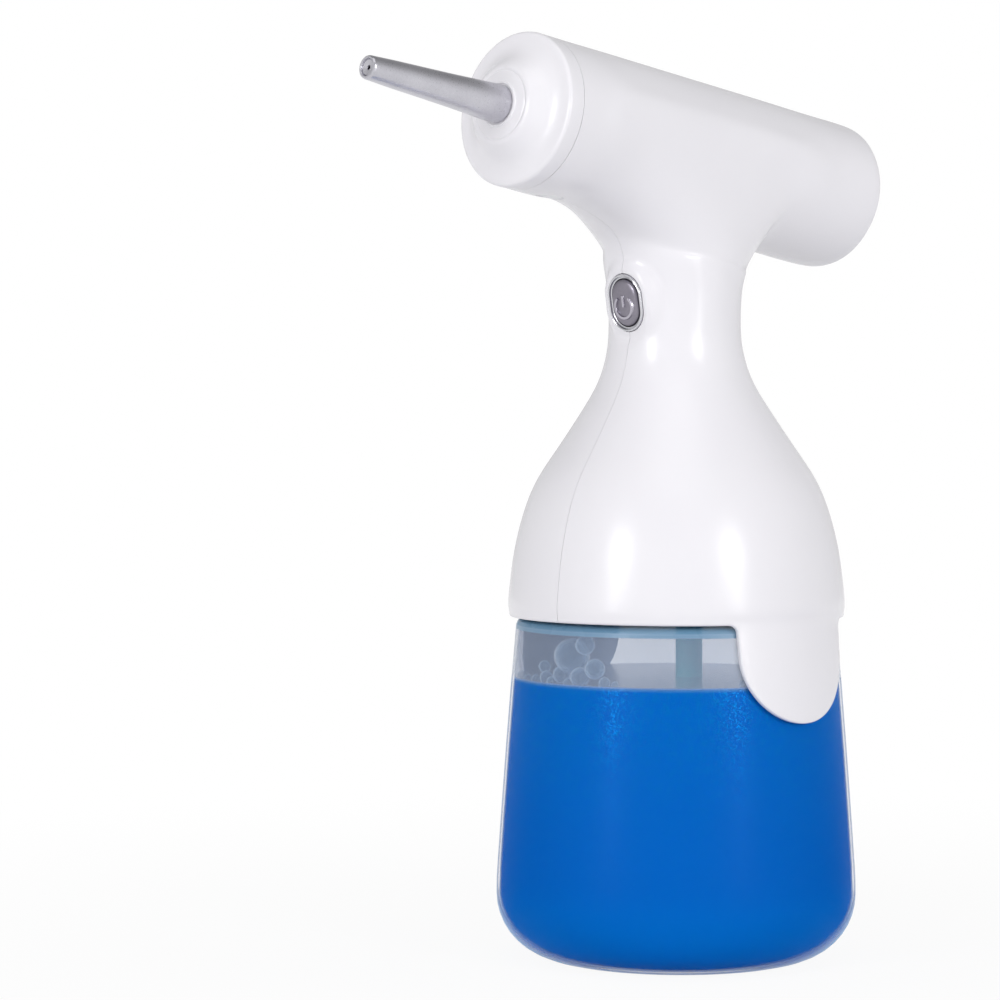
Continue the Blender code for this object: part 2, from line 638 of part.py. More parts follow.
def shell_cage():
    """The T-shaped outer surface: a head open at the front, a neck and a bell open at the rim."""
    bm = bmesh.new()
    opening = NECK_OPENING_FRONT + NECK_OPENING_REAR
    head_rows = [(HEAD_FRONT, HEAD_RADIUS)]
    head_rows += [(NECK_OPENING_FRONT - opening * step / 4, HEAD_RADIUS) for step in range(5)]
    head_rows += [(-(HEAD_REAR + NECK_OPENING_REAR) / 2, HEAD_RADIUS),
                  (-HEAD_REAR + HEAD_EDGE, HEAD_RADIUS),
                  (-HEAD_REAR + HEAD_EDGE * HALFWAY, HEAD_RADIUS - HEAD_EDGE * HALFWAY),
                  (-HEAD_REAR, HEAD_RADIUS - HEAD_EDGE), (-HEAD_REAR, HEAD_RADIUS / 2)]
    turns = [math.tau * step / HEAD_STEPS for step in range(HEAD_STEPS)]
    rows = []
    for along, radius in head_rows:
        places = [HEAD @ Vector((radius * math.cos(a), radius * math.sin(a), along)) for a in turns]
        rows.append([bm.verts.new(place) for place in places])
    for index, (row, after) in enumerate(zip(rows, rows[1:])):
        for step in range(HEAD_STEPS):
            if 1 <= index <= 4 and step >= HEAD_STEPS // 2:
                continue
            follow = (step + 1) % HEAD_STEPS
            bm.faces.new((row[step], row[follow], after[follow], after[step]))
    bm.faces.new(rows[-1])

    first, last = rows[1], rows[5]
    sides = rows[2:5]
    ring = [first[9], first[10], first[11], first[0]] + [row[0] for row in sides]
    ring += [last[0], last[11], last[10], last[9], last[8], last[7], last[6]]
    ring += [row[6] for row in reversed(sides)] + [first[6], first[7], first[8]]

    rings = [flare_ring(*sizes) for sizes in zip(FLARE_DROPS, FLARE_SIDES, FLARE_FRONTS, FLARE_REARS)]
    neck_rise = (HEAD_RISE - HEAD_RADIUS - FLARE_DROPS[1]) * NECK_EASE_SHARE
    rings.append(bell_ring(NECK_RADIUS + NECK_EASE, WAIST_HEIGHT + neck_rise, 0))
    for height_share, radius_share in BELL_SHARES:
        height = RIM_HEIGHT + height_share * (WAIST_HEIGHT - RIM_HEIGHT)
        radius = NECK_RADIUS + radius_share * (BELL_RADIUS - NECK_RADIUS)
        rings.append(bell_ring(radius, height, min(1, max(0, 1 - height_share))))
    for places in rings:
        lower = [bm.verts.new(place) for place in places]
        for column in range(len(ring)):
            follow = (column + 1) % len(ring)
            bm.faces.new((ring[column], ring[follow], lower[follow], lower[column]))
        ring = lower
    for middle in (QUARTER, 3 * QUARTER):
        row = ring[middle - 2:middle + 3]
        for places in tongue_rows(math.pi / 2 * middle / QUARTER):
            lower = [bm.verts.new(place) for place in places]
            for column in range(4):
                bm.faces.new((row[column], row[column + 1], lower[column + 1], lower[column]))
            row = lower
    loose = [vert for vert in bm.verts if not vert.link_faces]
    bmesh.ops.delete(bm, geom=loose, context="VERTS")
    bmesh.ops.recalc_face_normals(bm, faces=bm.faces)
    pass_through(bm)
    mesh = bpy.data.meshes.new("shell_cage")
    bm.to_mesh(mesh)
    bm.free()
    return mesh


def inner_radius(height):
    """The bell's inner radius, read from the outline between two of its rings."""
    share = (height - RIM_HEIGHT) / (WAIST_HEIGHT - RIM_HEIGHT)
    heights = [pair[0] for pair in reversed(BELL_SHARES)]
    radii = [pair[1] for pair in reversed(BELL_SHARES)]
    return NECK_RADIUS + float(np.interp(share, heights, radii)) * (BELL_RADIUS - NECK_RADIUS) - SHELL_WALL


def shell_ribs(side, other_half):
    """What stands inside one shell: ribs for the collar, posts and rails for the boards, the button's boss."""
    pieces = []
    low_top = PLATE_BOTTOM - GAP
    high_bottom = PLATE_TOP + GAP
    for name, low in (("lower_rib", low_top - RIB_THICKNESS), ("upper_rib", high_bottom)):
        high = low + RIB_THICKNESS
        outer = inner_radius((low + high) / 2) + ROOT
        inner = outer - ROOT - RIB_REACH
        outline = [(inner, high), (outer, high), (outer, low), (inner, low)]
        pieces.append(turned(f"{name}_{side}", WHITE, outline, steps=LARGE_STEPS, role="cutter"))
    pieces.append(extruded(f"button_boss_{side}", WHITE,
                           oval(BEZEL_WIDTH + 2 * BOSS_RIM, BEZEL_TALL + 2 * BOSS_RIM),
                           NECK_RADIUS - SHELL_WALL / 2, BOSS_FACE, FRONT, role="cutter"))
    for piece in pieces:
        cut(piece, other_half)
    near, far = side * (SWITCH_BOARD_WIDTH / 2 - BOARD_LAP), side * (NECK_RADIUS - SHELL_WALL + ROOT / 2)
    pieces.append(block(f"board_post_{side}", WHITE,
                        (min(near, far), -BOARD_POST_TALL / 2, BOARD_BACK - GAP - BOARD_POST),
                        (max(near, far), BOARD_POST_TALL / 2, BOARD_BACK - GAP), FRONT, role="cutter"))
    rail_top = MAIN_BOTTOM - GAP
    reach = math.sqrt(HEAD_BORE ** 2 - rail_top ** 2) + ROOT / 2
    near, far = side * (MAIN_BOARD_WIDTH / 2 - BOARD_LAP), side * reach
    pieces.append(block(f"main_rail_{side}", WHITE,
                        (min(near, far), rail_top - RAIL_HEIGHT, -BATTERY_REAR + ROOT),
                        (max(near, far), rail_top, -BATTERY_REAR + MAIN_BOARD_LENGTH), HEAD, role="cutter"))
    near, far = side * (SENSOR_BOARD_WIDTH / 2 - SENSOR_POST), side * SENSOR_BOARD_WIDTH / 2
    post_top = -SENSOR_BOARD_DROP - BOARD_THICKNESS - GAP
    post_foot = -math.sqrt(HEAD_BORE ** 2 - far ** 2) - ROOT
    pieces.append(block(f"sensor_post_{side}", WHITE,
                        (min(near, far), post_foot, SENSOR_PLACE - SENSOR_LENGTH / 2),
                        (max(near, far), post_top, SENSOR_PLACE + SENSOR_LENGTH / 2), HEAD, role="cutter"))
    return pieces


def shell_openings():
    """What is cut through both shells: the button's hole, the charging port and the sensor's window."""
    button_hole = extruded("button_hole", WHITE, oval(BEZEL_WIDTH + 2 * GAP, BEZEL_TALL + 2 * GAP),
                           BEZEL_BACK - BUTTON_BODY, BOSS_FACE + OVERRUN, FRONT, role="cutter")
    half_wide, half_tall = PORT_WIDTH / 2 + GAP, PORT_TALL / 2 + GAP
    port_hole = block("port_hole", WHITE,
                      (-half_wide, PORT_CENTRE - half_tall, -HEAD_REAR - OVERRUN),
                      (half_wide, PORT_CENTRE + half_tall, -HEAD_REAR + SHELL_WALL + OVERRUN), HEAD,
                      role="cutter")
    window = extruded("sensor_hole", WHITE, oval(SENSOR_WIDTH + 2 * GAP, SENSOR_LENGTH + 2 * GAP),
                      -HEAD_RADIUS - OVERRUN, -HEAD_BORE + OVERRUN / 2,
                      HEAD @ Matrix.Translation((0, 0, SENSOR_PLACE)) @ Matrix.Rotation(-math.pi / 2, 4, "X"),
                      role="cutter")
    return [button_hole, port_hole, window]


def shells():
    """The two halves of the white housing, split on the object's centre plane."""
    cage = shell_cage()
    openings = shell_openings()
    for name, side in (("left_shell", 1), ("right_shell", -1)):
        shell = finish(made_object(name, cage.copy(), "part"), WHITE, Matrix())
        smooth = shell.modifiers.new("smooth", "SUBSURF")
        smooth.levels = 1
        smooth.render_levels = 1
        wall = shell.modifiers.new("wall", "SOLIDIFY")
        wall.thickness = SHELL_WALL
        wall.offset = -1
        wall.use_even_offset = True
        shell.modifiers.new("flat_faces", "TRIANGULATE")
        near, far = side * GAP / 2, -side * (BOTTLE_RADIUS + OVERRUN)
        reach = HEAD_FRONT + HEAD_REAR
        other_half = block(f"{name}_side", WHITE, (min(near, far), -reach, 0),
                           (max(near, far), reach, HEAD_HEIGHT + reach), role="cutter")
        cut(shell, other_half)
        join(shell, *shell_ribs(side, other_half))
        cut(shell, *openings)
        for number, share in enumerate(PIN_PLACE_SHARES):
            height = PLATE_TOP + PIN_RISE
            inside = inner_radius(height)
            depth = share * inside
            boss_reach = math.sqrt(inside ** 2 - (abs(depth) + PIN_BOSS_RADIUS) ** 2) + ROOT
            across = Matrix.Translation((0, depth, height)) @ Matrix.Rotation(side * math.pi / 2, 4, "Y")
            join(shell, rod(f"{name}_boss_{number}", WHITE, PIN_BOSS_RADIUS, GAP / 2, boss_reach, across,
                            role="cutter"))
            if side > 0:
                join(shell, rod(f"{name}_pin_{number}", WHITE, PIN_RADIUS, -PIN_LENGTH,
                                PIN_LENGTH, across, role="cutter"))
            else:
                cut(shell, rod(f"{name}_socket_{number}", WHITE, PIN_RADIUS + GAP, -OVERRUN,
                               PIN_LENGTH + GAP, across, role="cutter"))


def front_cap():
    """The round front of the head: a rounded disc with a boss that the nozzle comes out of."""
    hole = NOZZLE_SPIGOT_RADIUS + GAP
    run = HEAD_RADIUS - CAP_EDGE - CAP_BOSS_RADIUS
    seam = HEAD_FRONT + GAP
    spigot = HEAD_BORE - GAP
    sleeve = CHAMBER_RADIUS + GAP
    inside = CAP_FACE - CAP_WALL
    outline = [(hole, BOSS_PLANE), (CAP_BOSS_RADIUS, BOSS_PLANE)]
    outline += [(CAP_BOSS_RADIUS + run * out, CAP_FACE + CAP_BOSS * rise) for out, rise in CAP_SLOPE_SHARES]
    outline += corner((HEAD_RADIUS - CAP_EDGE, CAP_FACE - CAP_EDGE), CAP_EDGE, math.pi / 2, 0, 4)
    outline += [(HEAD_RADIUS, seam), (spigot, seam), (spigot, seam - CAP_SPIGOT),
                (spigot - CAP_SPIGOT_WALL, seam - CAP_SPIGOT), (spigot - CAP_SPIGOT_WALL, inside),
                (sleeve + CAP_SLEEVE_WALL, inside), (sleeve + CAP_SLEEVE_WALL, inside - CAP_SLEEVE),
                (sleeve, inside - CAP_SLEEVE), (sleeve, inside), (hole, inside)]
    turned("front_cap", WHITE, outline, HEAD, LARGE_STEPS)


def nozzle():
    """A tapered metal spout with a spigot in the cap and a small orifice insert in its end."""
    base = BOSS_PLANE + GAP
    tip = base + NOZZLE_LENGTH
    seat = TIP_RADIUS + GAP
    seat_floor = tip - TIP_RECESS - TIP_THICKNESS - GAP
    outline = [(seat, tip), (NOZZLE_TIP_RADIUS - NOZZLE_ROUND, tip), (NOZZLE_TIP_RADIUS, tip - NOZZLE_ROUND),
               (NOZZLE_BASE_RADIUS, base), (NOZZLE_SPIGOT_RADIUS, base),
               (NOZZLE_SPIGOT_RADIUS, base - NOZZLE_SPIGOT), (NOZZLE_BORE, base - NOZZLE_SPIGOT),
               (NOZZLE_BORE, seat_floor), (seat, seat_floor)]
    turned("nozzle", SATIN, outline, HEAD, MEDIUM_STEPS)
    face = tip - TIP_RECESS
    turned("nozzle_tip", SATIN, [(ORIFICE, face), (TIP_RADIUS, face), (TIP_RADIUS, face - TIP_THICKNESS),
                                 (ORIFICE, face - TIP_THICKNESS)], HEAD, SMALL_STEPS)


def power_button():
    """Bezel, button, tact switch with its plunger, and the small board behind them."""
    inner_wide, inner_tall = BEZEL_WIDTH - 2 * BEZEL_RIM, BEZEL_TALL - 2 * BEZEL_RIM
    bezel = extruded("button_bezel", CHROME, oval(BEZEL_WIDTH, BEZEL_TALL), BEZEL_BACK, BEZEL_FACE, FRONT)
    cut(bezel, extruded("bezel_hole", CHROME, oval(inner_wide, inner_tall), BEZEL_BACK - OVERRUN,
                        BEZEL_FACE + OVERRUN, FRONT, role="cutter"))
    wide, tall = inner_wide - 2 * GAP, inner_tall - 2 * GAP
    button = extruded("button", SATIN, oval(wide, tall), FLANGE_BACK, BUTTON_FACE, FRONT)
    flange = extruded("button_flange", SATIN, oval(wide + 2 * BUTTON_FLANGE, tall + 2 * BUTTON_FLANGE),
                      FLANGE_BACK - GAP, FLANGE_BACK + BUTTON_FLANGE_THICKNESS, FRONT, role="cutter")
    stem = rod("button_stem", SATIN, BUTTON_STEM_RADIUS, STEM_END, FLANGE_BACK + GAP, FRONT, role="cutter")
    join(button, flange, stem)
    half = SWITCH_SIZE / 2
    switch = block("tact_switch", BLACK, (-half, -half, SWITCH_BACK), (half, half, SWITCH_TOP), FRONT)
    cut(switch, rod("plunger_hole", BLACK, PLUNGER_RADIUS + GAP, SWITCH_TOP - PLUNGER_DEPTH - PLUNGER_REACH,
                    SWITCH_TOP + OVERRUN, FRONT, role="cutter"))
    rod("switch_plunger", BLACK, PLUNGER_RADIUS, SWITCH_TOP - PLUNGER_DEPTH, PLUNGER_TOP, FRONT)
    wide, tall = SWITCH_BOARD_WIDTH / 2, SWITCH_BOARD_TALL / 2
    block("switch_board", BOARD, (-wide, -tall, BOARD_BACK), (wide, tall, BOARD_FRONT), FRONT)


def screw_place(angle, circle=SCREW_CIRCLE):
    return Matrix.Translation((circle * math.cos(angle), circle * math.sin(angle), 0))


def thread_collar():
    """The ring that the bottle screws into, with the plate that carries the pump."""
    bottom = SHOULDER_HEIGHT + COLLAR_LIFT
    outer = THREAD_BORE + COLLAR_WALL
    flange = inner_radius(PLATE_TOP) - GAP
    outline = [(0, PLATE_TOP), (flange, PLATE_TOP), (flange, PLATE_BOTTOM),
               (outer, PLATE_BOTTOM), (outer, bottom), (THREAD_BORE, bottom), (THREAD_BORE, PLATE_BOTTOM),
               (0, PLATE_BOTTOM)]
    collar = turned("thread_collar", NATURAL, outline, steps=LARGE_STEPS)
    shift = THREAD_SHIFT + math.tau / THREAD_STARTS / 2 + math.tau * COLLAR_THREAD_RISE / THREAD_LEAD
    height = SHOULDER_HEIGHT + THREAD_RISE + COLLAR_THREAD_RISE
    join(collar, *thread_beads("collar_bead", THREAD_BORE, height, shift))
    cut(collar, rod("tube_hole", NATURAL, TUBE_RADIUS + GAP, PLATE_BOTTOM - OVERRUN, PLATE_TOP + OVERRUN,
                    Matrix.Translation((PORT_OFFSET, 0, 0)), role="cutter"))
    for number, angle in enumerate(SCREW_ANGLES):
        cut(collar, rod(f"collar_screw_hole_{number}", NATURAL, SCREW_RADIUS + GAP, PLATE_BOTTOM - OVERRUN,
                        PLATE_TOP + OVERRUN, screw_place(angle), role="cutter"))


def gear(name, centre_y, turn):
    """A pump gear with straight-sided teeth, on its own axis."""
    outline = []
    for tooth in range(GEAR_TEETH):
        for across, out in TOOTH_SHARES:
            angle = turn + math.tau * (tooth + across) / GEAR_TEETH
            radius = GEAR_ROOT + out * (GEAR_TIP - GEAR_ROOT)
            outline.append((radius * math.cos(angle), radius * math.sin(angle)))
    place = Matrix.Translation((0, centre_y, 0))
    made = extruded(name, NATURAL, outline, GEAR_BOTTOM, GEAR_TOP, place)
    cut(made, rod(f"{name}_bore", NATURAL, SHAFT_RADIUS + GAP, GEAR_BOTTOM - OVERRUN, GEAR_TOP + OVERRUN,
                  place, role="cutter"))


def pump():
    """A gear pump: housing with two meshing gears, cover, seal and four screws."""
    bore = PORT_RADIUS
    spigot_radius = TUBE_RADIUS - TUBE_WALL - GAP
    cavity_floor = GEAR_BOTTOM - GAP
    housing = rod("pump_housing", NATURAL, PUMP_RADIUS, PUMP_BOTTOM, PUMP_TOP, steps=MEDIUM_STEPS)
    inlet = Matrix.Translation((PORT_OFFSET, 0, 0))
    join(housing, rod("inlet_spigot", NATURAL, spigot_radius, PLATE_BOTTOM - SPIGOT_LENGTH,
                      PUMP_BOTTOM + OVERRUN, inlet, role="cutter"))
    for side in (1, -1):
        cut(housing, rod(f"gear_room_{side}", NATURAL, GEAR_TIP + GAP, cavity_floor, PUMP_TOP + OVERRUN,
                         Matrix.Translation((0, side * MOTOR_Y, 0)), MEDIUM_STEPS, role="cutter"))
    cut(housing, rod("inlet_bore", NATURAL, bore, PLATE_BOTTOM - SPIGOT_LENGTH - OVERRUN, GEAR_TOP, inlet,
                     role="cutter"))
    cut(housing, rod("pin_hole", NATURAL, SHAFT_RADIUS + GAP, cavity_floor - IDLER_PIN_SINK,
                     cavity_floor + OVERRUN, Matrix.Translation((0, -MOTOR_Y, 0)), role="cutter"))
    outlet = Vector((*OUTLET_PLACE, 0))
    start = Vector((-PORT_OFFSET, 0, 0))
    heading = math.atan2(outlet.y - start.y, outlet.x - start.x)
    along = Matrix.Translation(start) @ Matrix.Rotation(heading, 4, "Z")
    cut(housing, block("outlet_channel", NATURAL, (-bore, -bore, PUMP_TOP - CHANNEL_DEPTH),
                       ((outlet - start).length + bore, bore, PUMP_TOP + OVERRUN), along, role="cutter"))

    cover = rod("pump_cover", NATURAL, PUMP_RADIUS, COVER_BOTTOM, COVER_TOP, steps=MEDIUM_STEPS)
    motor_place = Matrix.Translation((0, MOTOR_Y, 0))
    cup_in = MOTOR_RADIUS + GAP
    cup_out = cup_in + MOTOR_CUP_WALL
    cup_low, cup_high = COVER_TOP - GAP, COVER_TOP + MOTOR_CUP
    join(cover, turned("motor_cup", NATURAL, [(cup_in, cup_high), (cup_out, cup_high), (cup_out, cup_low),
                                              (cup_in, cup_low)], motor_place, role="cutter"))
    outlet_place = Matrix.Translation(outlet)
    hose_spigot = HOSE_RADIUS - HOSE_WALL - GAP
    join(cover, rod("outlet_spigot", NATURAL, hose_spigot, COVER_BOTTOM + GAP, COVER_TOP + SPIGOT_LENGTH,
                    outlet_place, role="cutter"))
    cut(cover, rod("outlet_bore", NATURAL, hose_spigot - SPIGOT_WALL, COVER_BOTTOM - OVERRUN,
                   COVER_TOP + SPIGOT_LENGTH + OVERRUN, outlet_place, role="cutter"))
    cut(cover, rod("shaft_hole", NATURAL, SHAFT_RADIUS + GAP, COVER_BOTTOM - OVERRUN, COVER_TOP + OVERRUN,
                   motor_place, role="cutter"))
    cut(cover, rod("seal_seat", NATURAL, SEAL_RADIUS + GAP, COVER_TOP - SEAL_THICKNESS - GAP,
                   COVER_TOP + OVERRUN, motor_place, role="cutter"))
    seal_top = COVER_TOP
    turned("shaft_seal", RUBBER, [(SHAFT_RADIUS + GAP, seal_top), (SEAL_RADIUS, seal_top),
                                  (SEAL_RADIUS, seal_top - SEAL_THICKNESS),
                                  (SHAFT_RADIUS + GAP, seal_top - SEAL_THICKNESS)], motor_place, SMALL_STEPS)

    gear("drive_gear", MOTOR_Y, -math.pi / 2)
    gear("idler_gear", -MOTOR_Y, math.pi / 2 + math.pi / GEAR_TEETH)
    rod("idler_pin", STEEL, SHAFT_RADIUS, cavity_floor - IDLER_PIN_SINK + GAP, GEAR_TOP,
        Matrix.Translation((0, -MOTOR_Y, 0)))

    for number, angle in enumerate(SCREW_ANGLES):
        place = screw_place(angle)
        hole = rod(f"pump_screw_hole_{number}", NATURAL, SCREW_RADIUS + GAP, PUMP_BOTTOM - OVERRUN,
                   COVER_TOP + OVERRUN, place, role="cutter")
        cut(housing, hole)
        cut(cover, hole)
        seat = COVER_TOP + GAP
        top = seat + SCREW_HEAD
        end = PLATE_BOTTOM + GAP
        screw = turned(f"pump_screw_{number + 1}", STEEL,
                       [(0, top), (SCREW_HEAD_RADIUS, top), (SCREW_HEAD_RADIUS, seat),
                        (SCREW_RADIUS, seat), (SCREW_RADIUS, end + SCREW_RADIUS), (0, end)], place,
                       SMALL_STEPS)
        slot = SCREW_SLOT / 2
        cut(screw, block(f"screw_slot_{number}", STEEL, (-SCREW_HEAD_RADIUS - OVERRUN, -slot, top - 2 * slot),
                         (SCREW_HEAD_RADIUS + OVERRUN, slot, top + OVERRUN), place, role="cutter"))


def motor():
    """The motor's can and end cap, and the shaft that drives the pump."""
    place = Matrix.Translation((0, MOTOR_Y, 0))
    can = rod("motor_can", STEEL, MOTOR_RADIUS, MOTOR_BOTTOM, MOTOR_TOP, place, MEDIUM_STEPS)
    cut(can, rod("motor_bore", STEEL, SHAFT_RADIUS + GAP, MOTOR_BOTTOM - OVERRUN,
                 MOTOR_BOTTOM + SHAFT_IN_MOTOR + GAP, place, role="cutter"))
    rod("motor_end_cap", BLACK, MOTOR_CAP_RADIUS, MOTOR_TOP + GAP, MOTOR_TOP + GAP + MOTOR_CAP_LENGTH, place,
        MEDIUM_STEPS)
    rod("motor_shaft", STEEL, SHAFT_RADIUS, GEAR_BOTTOM, MOTOR_BOTTOM + SHAFT_IN_MOTOR, place)


def tubes():
    """The dip tube with its filter, and the hose from the pump up the neck to the foam chamber."""
    place = Matrix.Translation((PORT_OFFSET, 0, 0))
    bore = TUBE_RADIUS - TUBE_WALL
    turned("dip_tube", TEAL, [(bore, DIP_TOP), (TUBE_RADIUS, DIP_TOP), (TUBE_RADIUS, DIP_BOTTOM),
                              (bore, DIP_BOTTOM)], place, SMALL_STEPS)
    seat = TUBE_RADIUS + GAP
    top = FILTER_BOTTOM + FILTER_HEIGHT
    floor = FILTER_BOTTOM + FILTER_FLOOR
    strainer = turned("suction_filter", NATURAL,
                      [(seat, top), (FILTER_RADIUS, top), (FILTER_RADIUS, FILTER_BOTTOM), (0, FILTER_BOTTOM),
                       (0, floor), (seat, floor)], place, MEDIUM_STEPS)
    half = FILTER_SLOT / 2
    reach = FILTER_RADIUS + OVERRUN
    for number in range(2):
        turn = place @ Matrix.Rotation(math.pi / 4 + number * math.pi / 2, 4, "Z")
        cut(strainer, block(f"filter_slot_{number}", NATURAL, (-reach, -half, floor + GAP),
                            (reach, half, floor + FILTER_SLOT), turn, role="cutter"))
    straight_rear = CHAMBER_REAR - CHAMBER_SPIGOT - GAP
    neck_low, neck_high = MOTOR_TOP + 3 * MOTOR_CAP_LENGTH, BUTTON_HEIGHT
    start_height = COVER_TOP + GAP
    x, y = OUTLET_PLACE
    route = [(x, y, start_height), (x, y, start_height + SPIGOT_LENGTH),
             (x * 0.95, y * 0.85, (start_height + MOTOR_TOP) / 2),
             (x * 0.88, y * 0.40, MOTOR_TOP), (x * 0.62, -y * 0.45, neck_low + HOSE_RADIUS),
             (x * 0.45, -y, neck_high), (x * 0.40, -y * 0.8, neck_high + 3 * HOSE_RADIUS)]
    for along, drop, across in ((0.05, 2.7, 0.32), (0.34, 1.6, 0.18), (0.58, 0.5, 0.05)):
        route.append(HEAD @ Vector((x * across, -CHAMBER_RADIUS * drop, CHAMBER_REAR * along)))
    route.append(HEAD @ Vector((0, 0, straight_rear)))
    points = smooth_route(route, HOSE_STEPS) + [HEAD @ Vector((0, 0, CHAMBER_REAR - GAP))]
    pipe("outlet_tube", CLEAR, points, HOSE_RADIUS, sides=2, wall=HOSE_WALL)


def foam_chamber():
    """The chamber behind the nozzle, where a valve and two screens turn soap and air into foam."""
    front = CAP_FACE - CAP_WALL - GAP
    bore = CHAMBER_RADIUS - CHAMBER_WALL
    spigot = HOSE_RADIUS - HOSE_WALL - GAP
    hole = spigot - SPIGOT_WALL
    rear_wall = CHAMBER_REAR + CHAMBER_WALL
    outline = [(bore, front), (CHAMBER_RADIUS, front), (CHAMBER_RADIUS, CHAMBER_REAR), (spigot, CHAMBER_REAR),
               (spigot, CHAMBER_REAR - CHAMBER_SPIGOT), (hole, CHAMBER_REAR - CHAMBER_SPIGOT),
               (hole, rear_wall), (bore, rear_wall)]
    turned("foam_chamber", NATURAL, outline, HEAD, MEDIUM_STEPS)
    disc = bore - GAP
    for number, place in enumerate(SCREEN_PLACES):
        rod(f"foam_screen_{number + 1}", STEEL, disc, place, place + SCREEN_THICKNESS, HEAD, MEDIUM_STEPS)
    turned("check_valve", RUBBER, [(VALVE_HOLE, VALVE_PLACE + SCREEN_THICKNESS),
                                   (disc, VALVE_PLACE + SCREEN_THICKNESS), (disc, VALVE_PLACE),
                                   (VALVE_HOLE, VALVE_PLACE)], HEAD, SMALL_STEPS)
    top = front - GAP
    seal_in = bore - GAP - RING_SEAL
    turned("chamber_seal", RUBBER, [(seal_in, top), (disc, top), (disc, top - RING_SEAL),
                                    (seal_in, top - RING_SEAL)], HEAD, MEDIUM_STEPS)


def electronics():
    """Battery on its cradle, main board on the shells' rails, charging socket and its rubber plug."""
    lifted = HEAD @ Matrix.Translation((0, BATTERY_LIFT, 0))
    front = BATTERY_LENGTH - BATTERY_REAR
    turned("battery", WRAP, [(0, front + BATTERY_NIPPLE), (BATTERY_NIPPLE_RADIUS, front + BATTERY_NIPPLE),
                             (BATTERY_NIPPLE_RADIUS, front), (BATTERY_RADIUS, front),
                             (BATTERY_RADIUS, -BATTERY_REAR), (0, -BATTERY_REAR)], lifted)
    half = CRADLE_WIDTH / 2
    block("battery_cradle", BLACK, (-half, CRADLE_TOP - CRADLE_THICKNESS, -BATTERY_REAR + GAP),
          (half, CRADLE_TOP, -BATTERY_REAR + CRADLE_LENGTH), HEAD)
    half = MAIN_BOARD_WIDTH / 2
    block("main_board", BOARD, (-half, MAIN_BOTTOM, -BATTERY_REAR + GAP),
          (half, MAIN_TOP, -BATTERY_REAR + MAIN_BOARD_LENGTH), HEAD)
    mouth = -HEAD_REAR + SHELL_WALL / 2
    half_wide, half_tall = PORT_WIDTH / 2, PORT_TALL / 2
    socket = block("usb_socket", STEEL, (-half_wide, PORT_CENTRE - half_tall, mouth),
                   (half_wide, PORT_CENTRE + half_tall, mouth + PORT_DEPTH), HEAD)
    inside_wide, inside_tall = half_wide - PORT_WALL, half_tall - PORT_WALL
    cut(socket, block("socket_pocket", STEEL, (-inside_wide, PORT_CENTRE - inside_tall, mouth - OVERRUN),
                      (inside_wide, PORT_CENTRE + inside_tall, mouth + PORT_POCKET), HEAD, role="cutter"))
    hinge = Matrix.Translation((0, PORT_CENTRE - PLUG_TALL / 2, -HEAD_REAR - GAP - PLUG_THICKNESS / 2))
    plug_frame = HEAD @ hinge
    half_wide = PLUG_WIDTH / 2
    plug = block("port_plug", SILICONE, (-half_wide, 0, -PLUG_THICKNESS / 2),
                 (half_wide, PLUG_TALL, PLUG_THICKNESS / 2), plug_frame, bevel=PLUG_THICKNESS / 4)
    tongue_wide, tongue_tall = PORT_WIDTH / 2 - PLUG_EASE, PORT_TALL / 2 - PLUG_EASE
    join(plug, block("plug_tongue", SILICONE, (-tongue_wide, PLUG_TALL / 2 - tongue_tall, 0),
                     (tongue_wide, PLUG_TALL / 2 + tongue_tall, PLUG_THICKNESS / 2 + PLUG_TONGUE),
                     plug_frame, role="cutter"))


def hand_sensor():
    """The lens under the front of the head, with the infrared pair and their board behind it."""
    down = HEAD @ Matrix.Translation((0, 0, SENSOR_PLACE)) @ Matrix.Rotation(-math.pi / 2, 4, "X")
    face = -HEAD_RADIUS + SENSOR_SINK
    extruded("sensor_window", SMOKED, oval(SENSOR_WIDTH, SENSOR_LENGTH), face, face + SENSOR_THICKNESS, down)
    board_top = -SENSOR_BOARD_DROP
    wide, long = SENSOR_BOARD_WIDTH / 2, SENSOR_BOARD_LENGTH / 2
    block("sensor_board", BOARD, (-wide, board_top - BOARD_THICKNESS, SENSOR_PLACE - long),
          (wide, board_top, SENSOR_PLACE + long), HEAD)
    for name, side in (("ir_emitter", 1), ("ir_receiver", -1)):
        place = down @ Matrix.Translation((0, side * EYE_SPACING / 2, 0))
        rod(name, BLACK, EYE_RADIUS, face + SENSOR_THICKNESS + GAP, board_top - BOARD_THICKNESS - GAP, place)


def motor_leads():
    """Two leads from the motor's end cap up the neck to the main board."""
    top = MOTOR_TOP + GAP + MOTOR_CAP_LENGTH + GAP
    for name, look, side in (("motor_lead_red", RED, 1), ("motor_lead_black", BLACK, -1)):
        x = side * MOTOR_CAP_RADIUS / 2
        route = [(x, MOTOR_Y, top), (x, MOTOR_Y, top + 3 * MOTOR_CAP_LENGTH),
                 (x * 0.6 + MOTOR_CAP_RADIUS * 0.6, MOTOR_Y * 1.8, BUTTON_HEIGHT),
                 (x * 0.6 + MOTOR_CAP_RADIUS * 0.3, MOTOR_Y * 2.0, BUTTON_HEIGHT + SWITCH_BOARD_TALL / 2)]
        board_end = -BATTERY_REAR + MAIN_BOARD_LENGTH + GAP
        board_middle = (MAIN_TOP + MAIN_BOTTOM) / 2
        route.append(HEAD @ Vector((x * 0.6, board_middle - 3 * BOARD_THICKNESS, board_end + 4 * BOARD_THICKNESS)))
        route.append(HEAD @ Vector((x * 0.6, board_middle, board_end)))
        pipe(name, look, smooth_route(route, LEAD_STEPS), LEAD_RADIUS, sides=1)


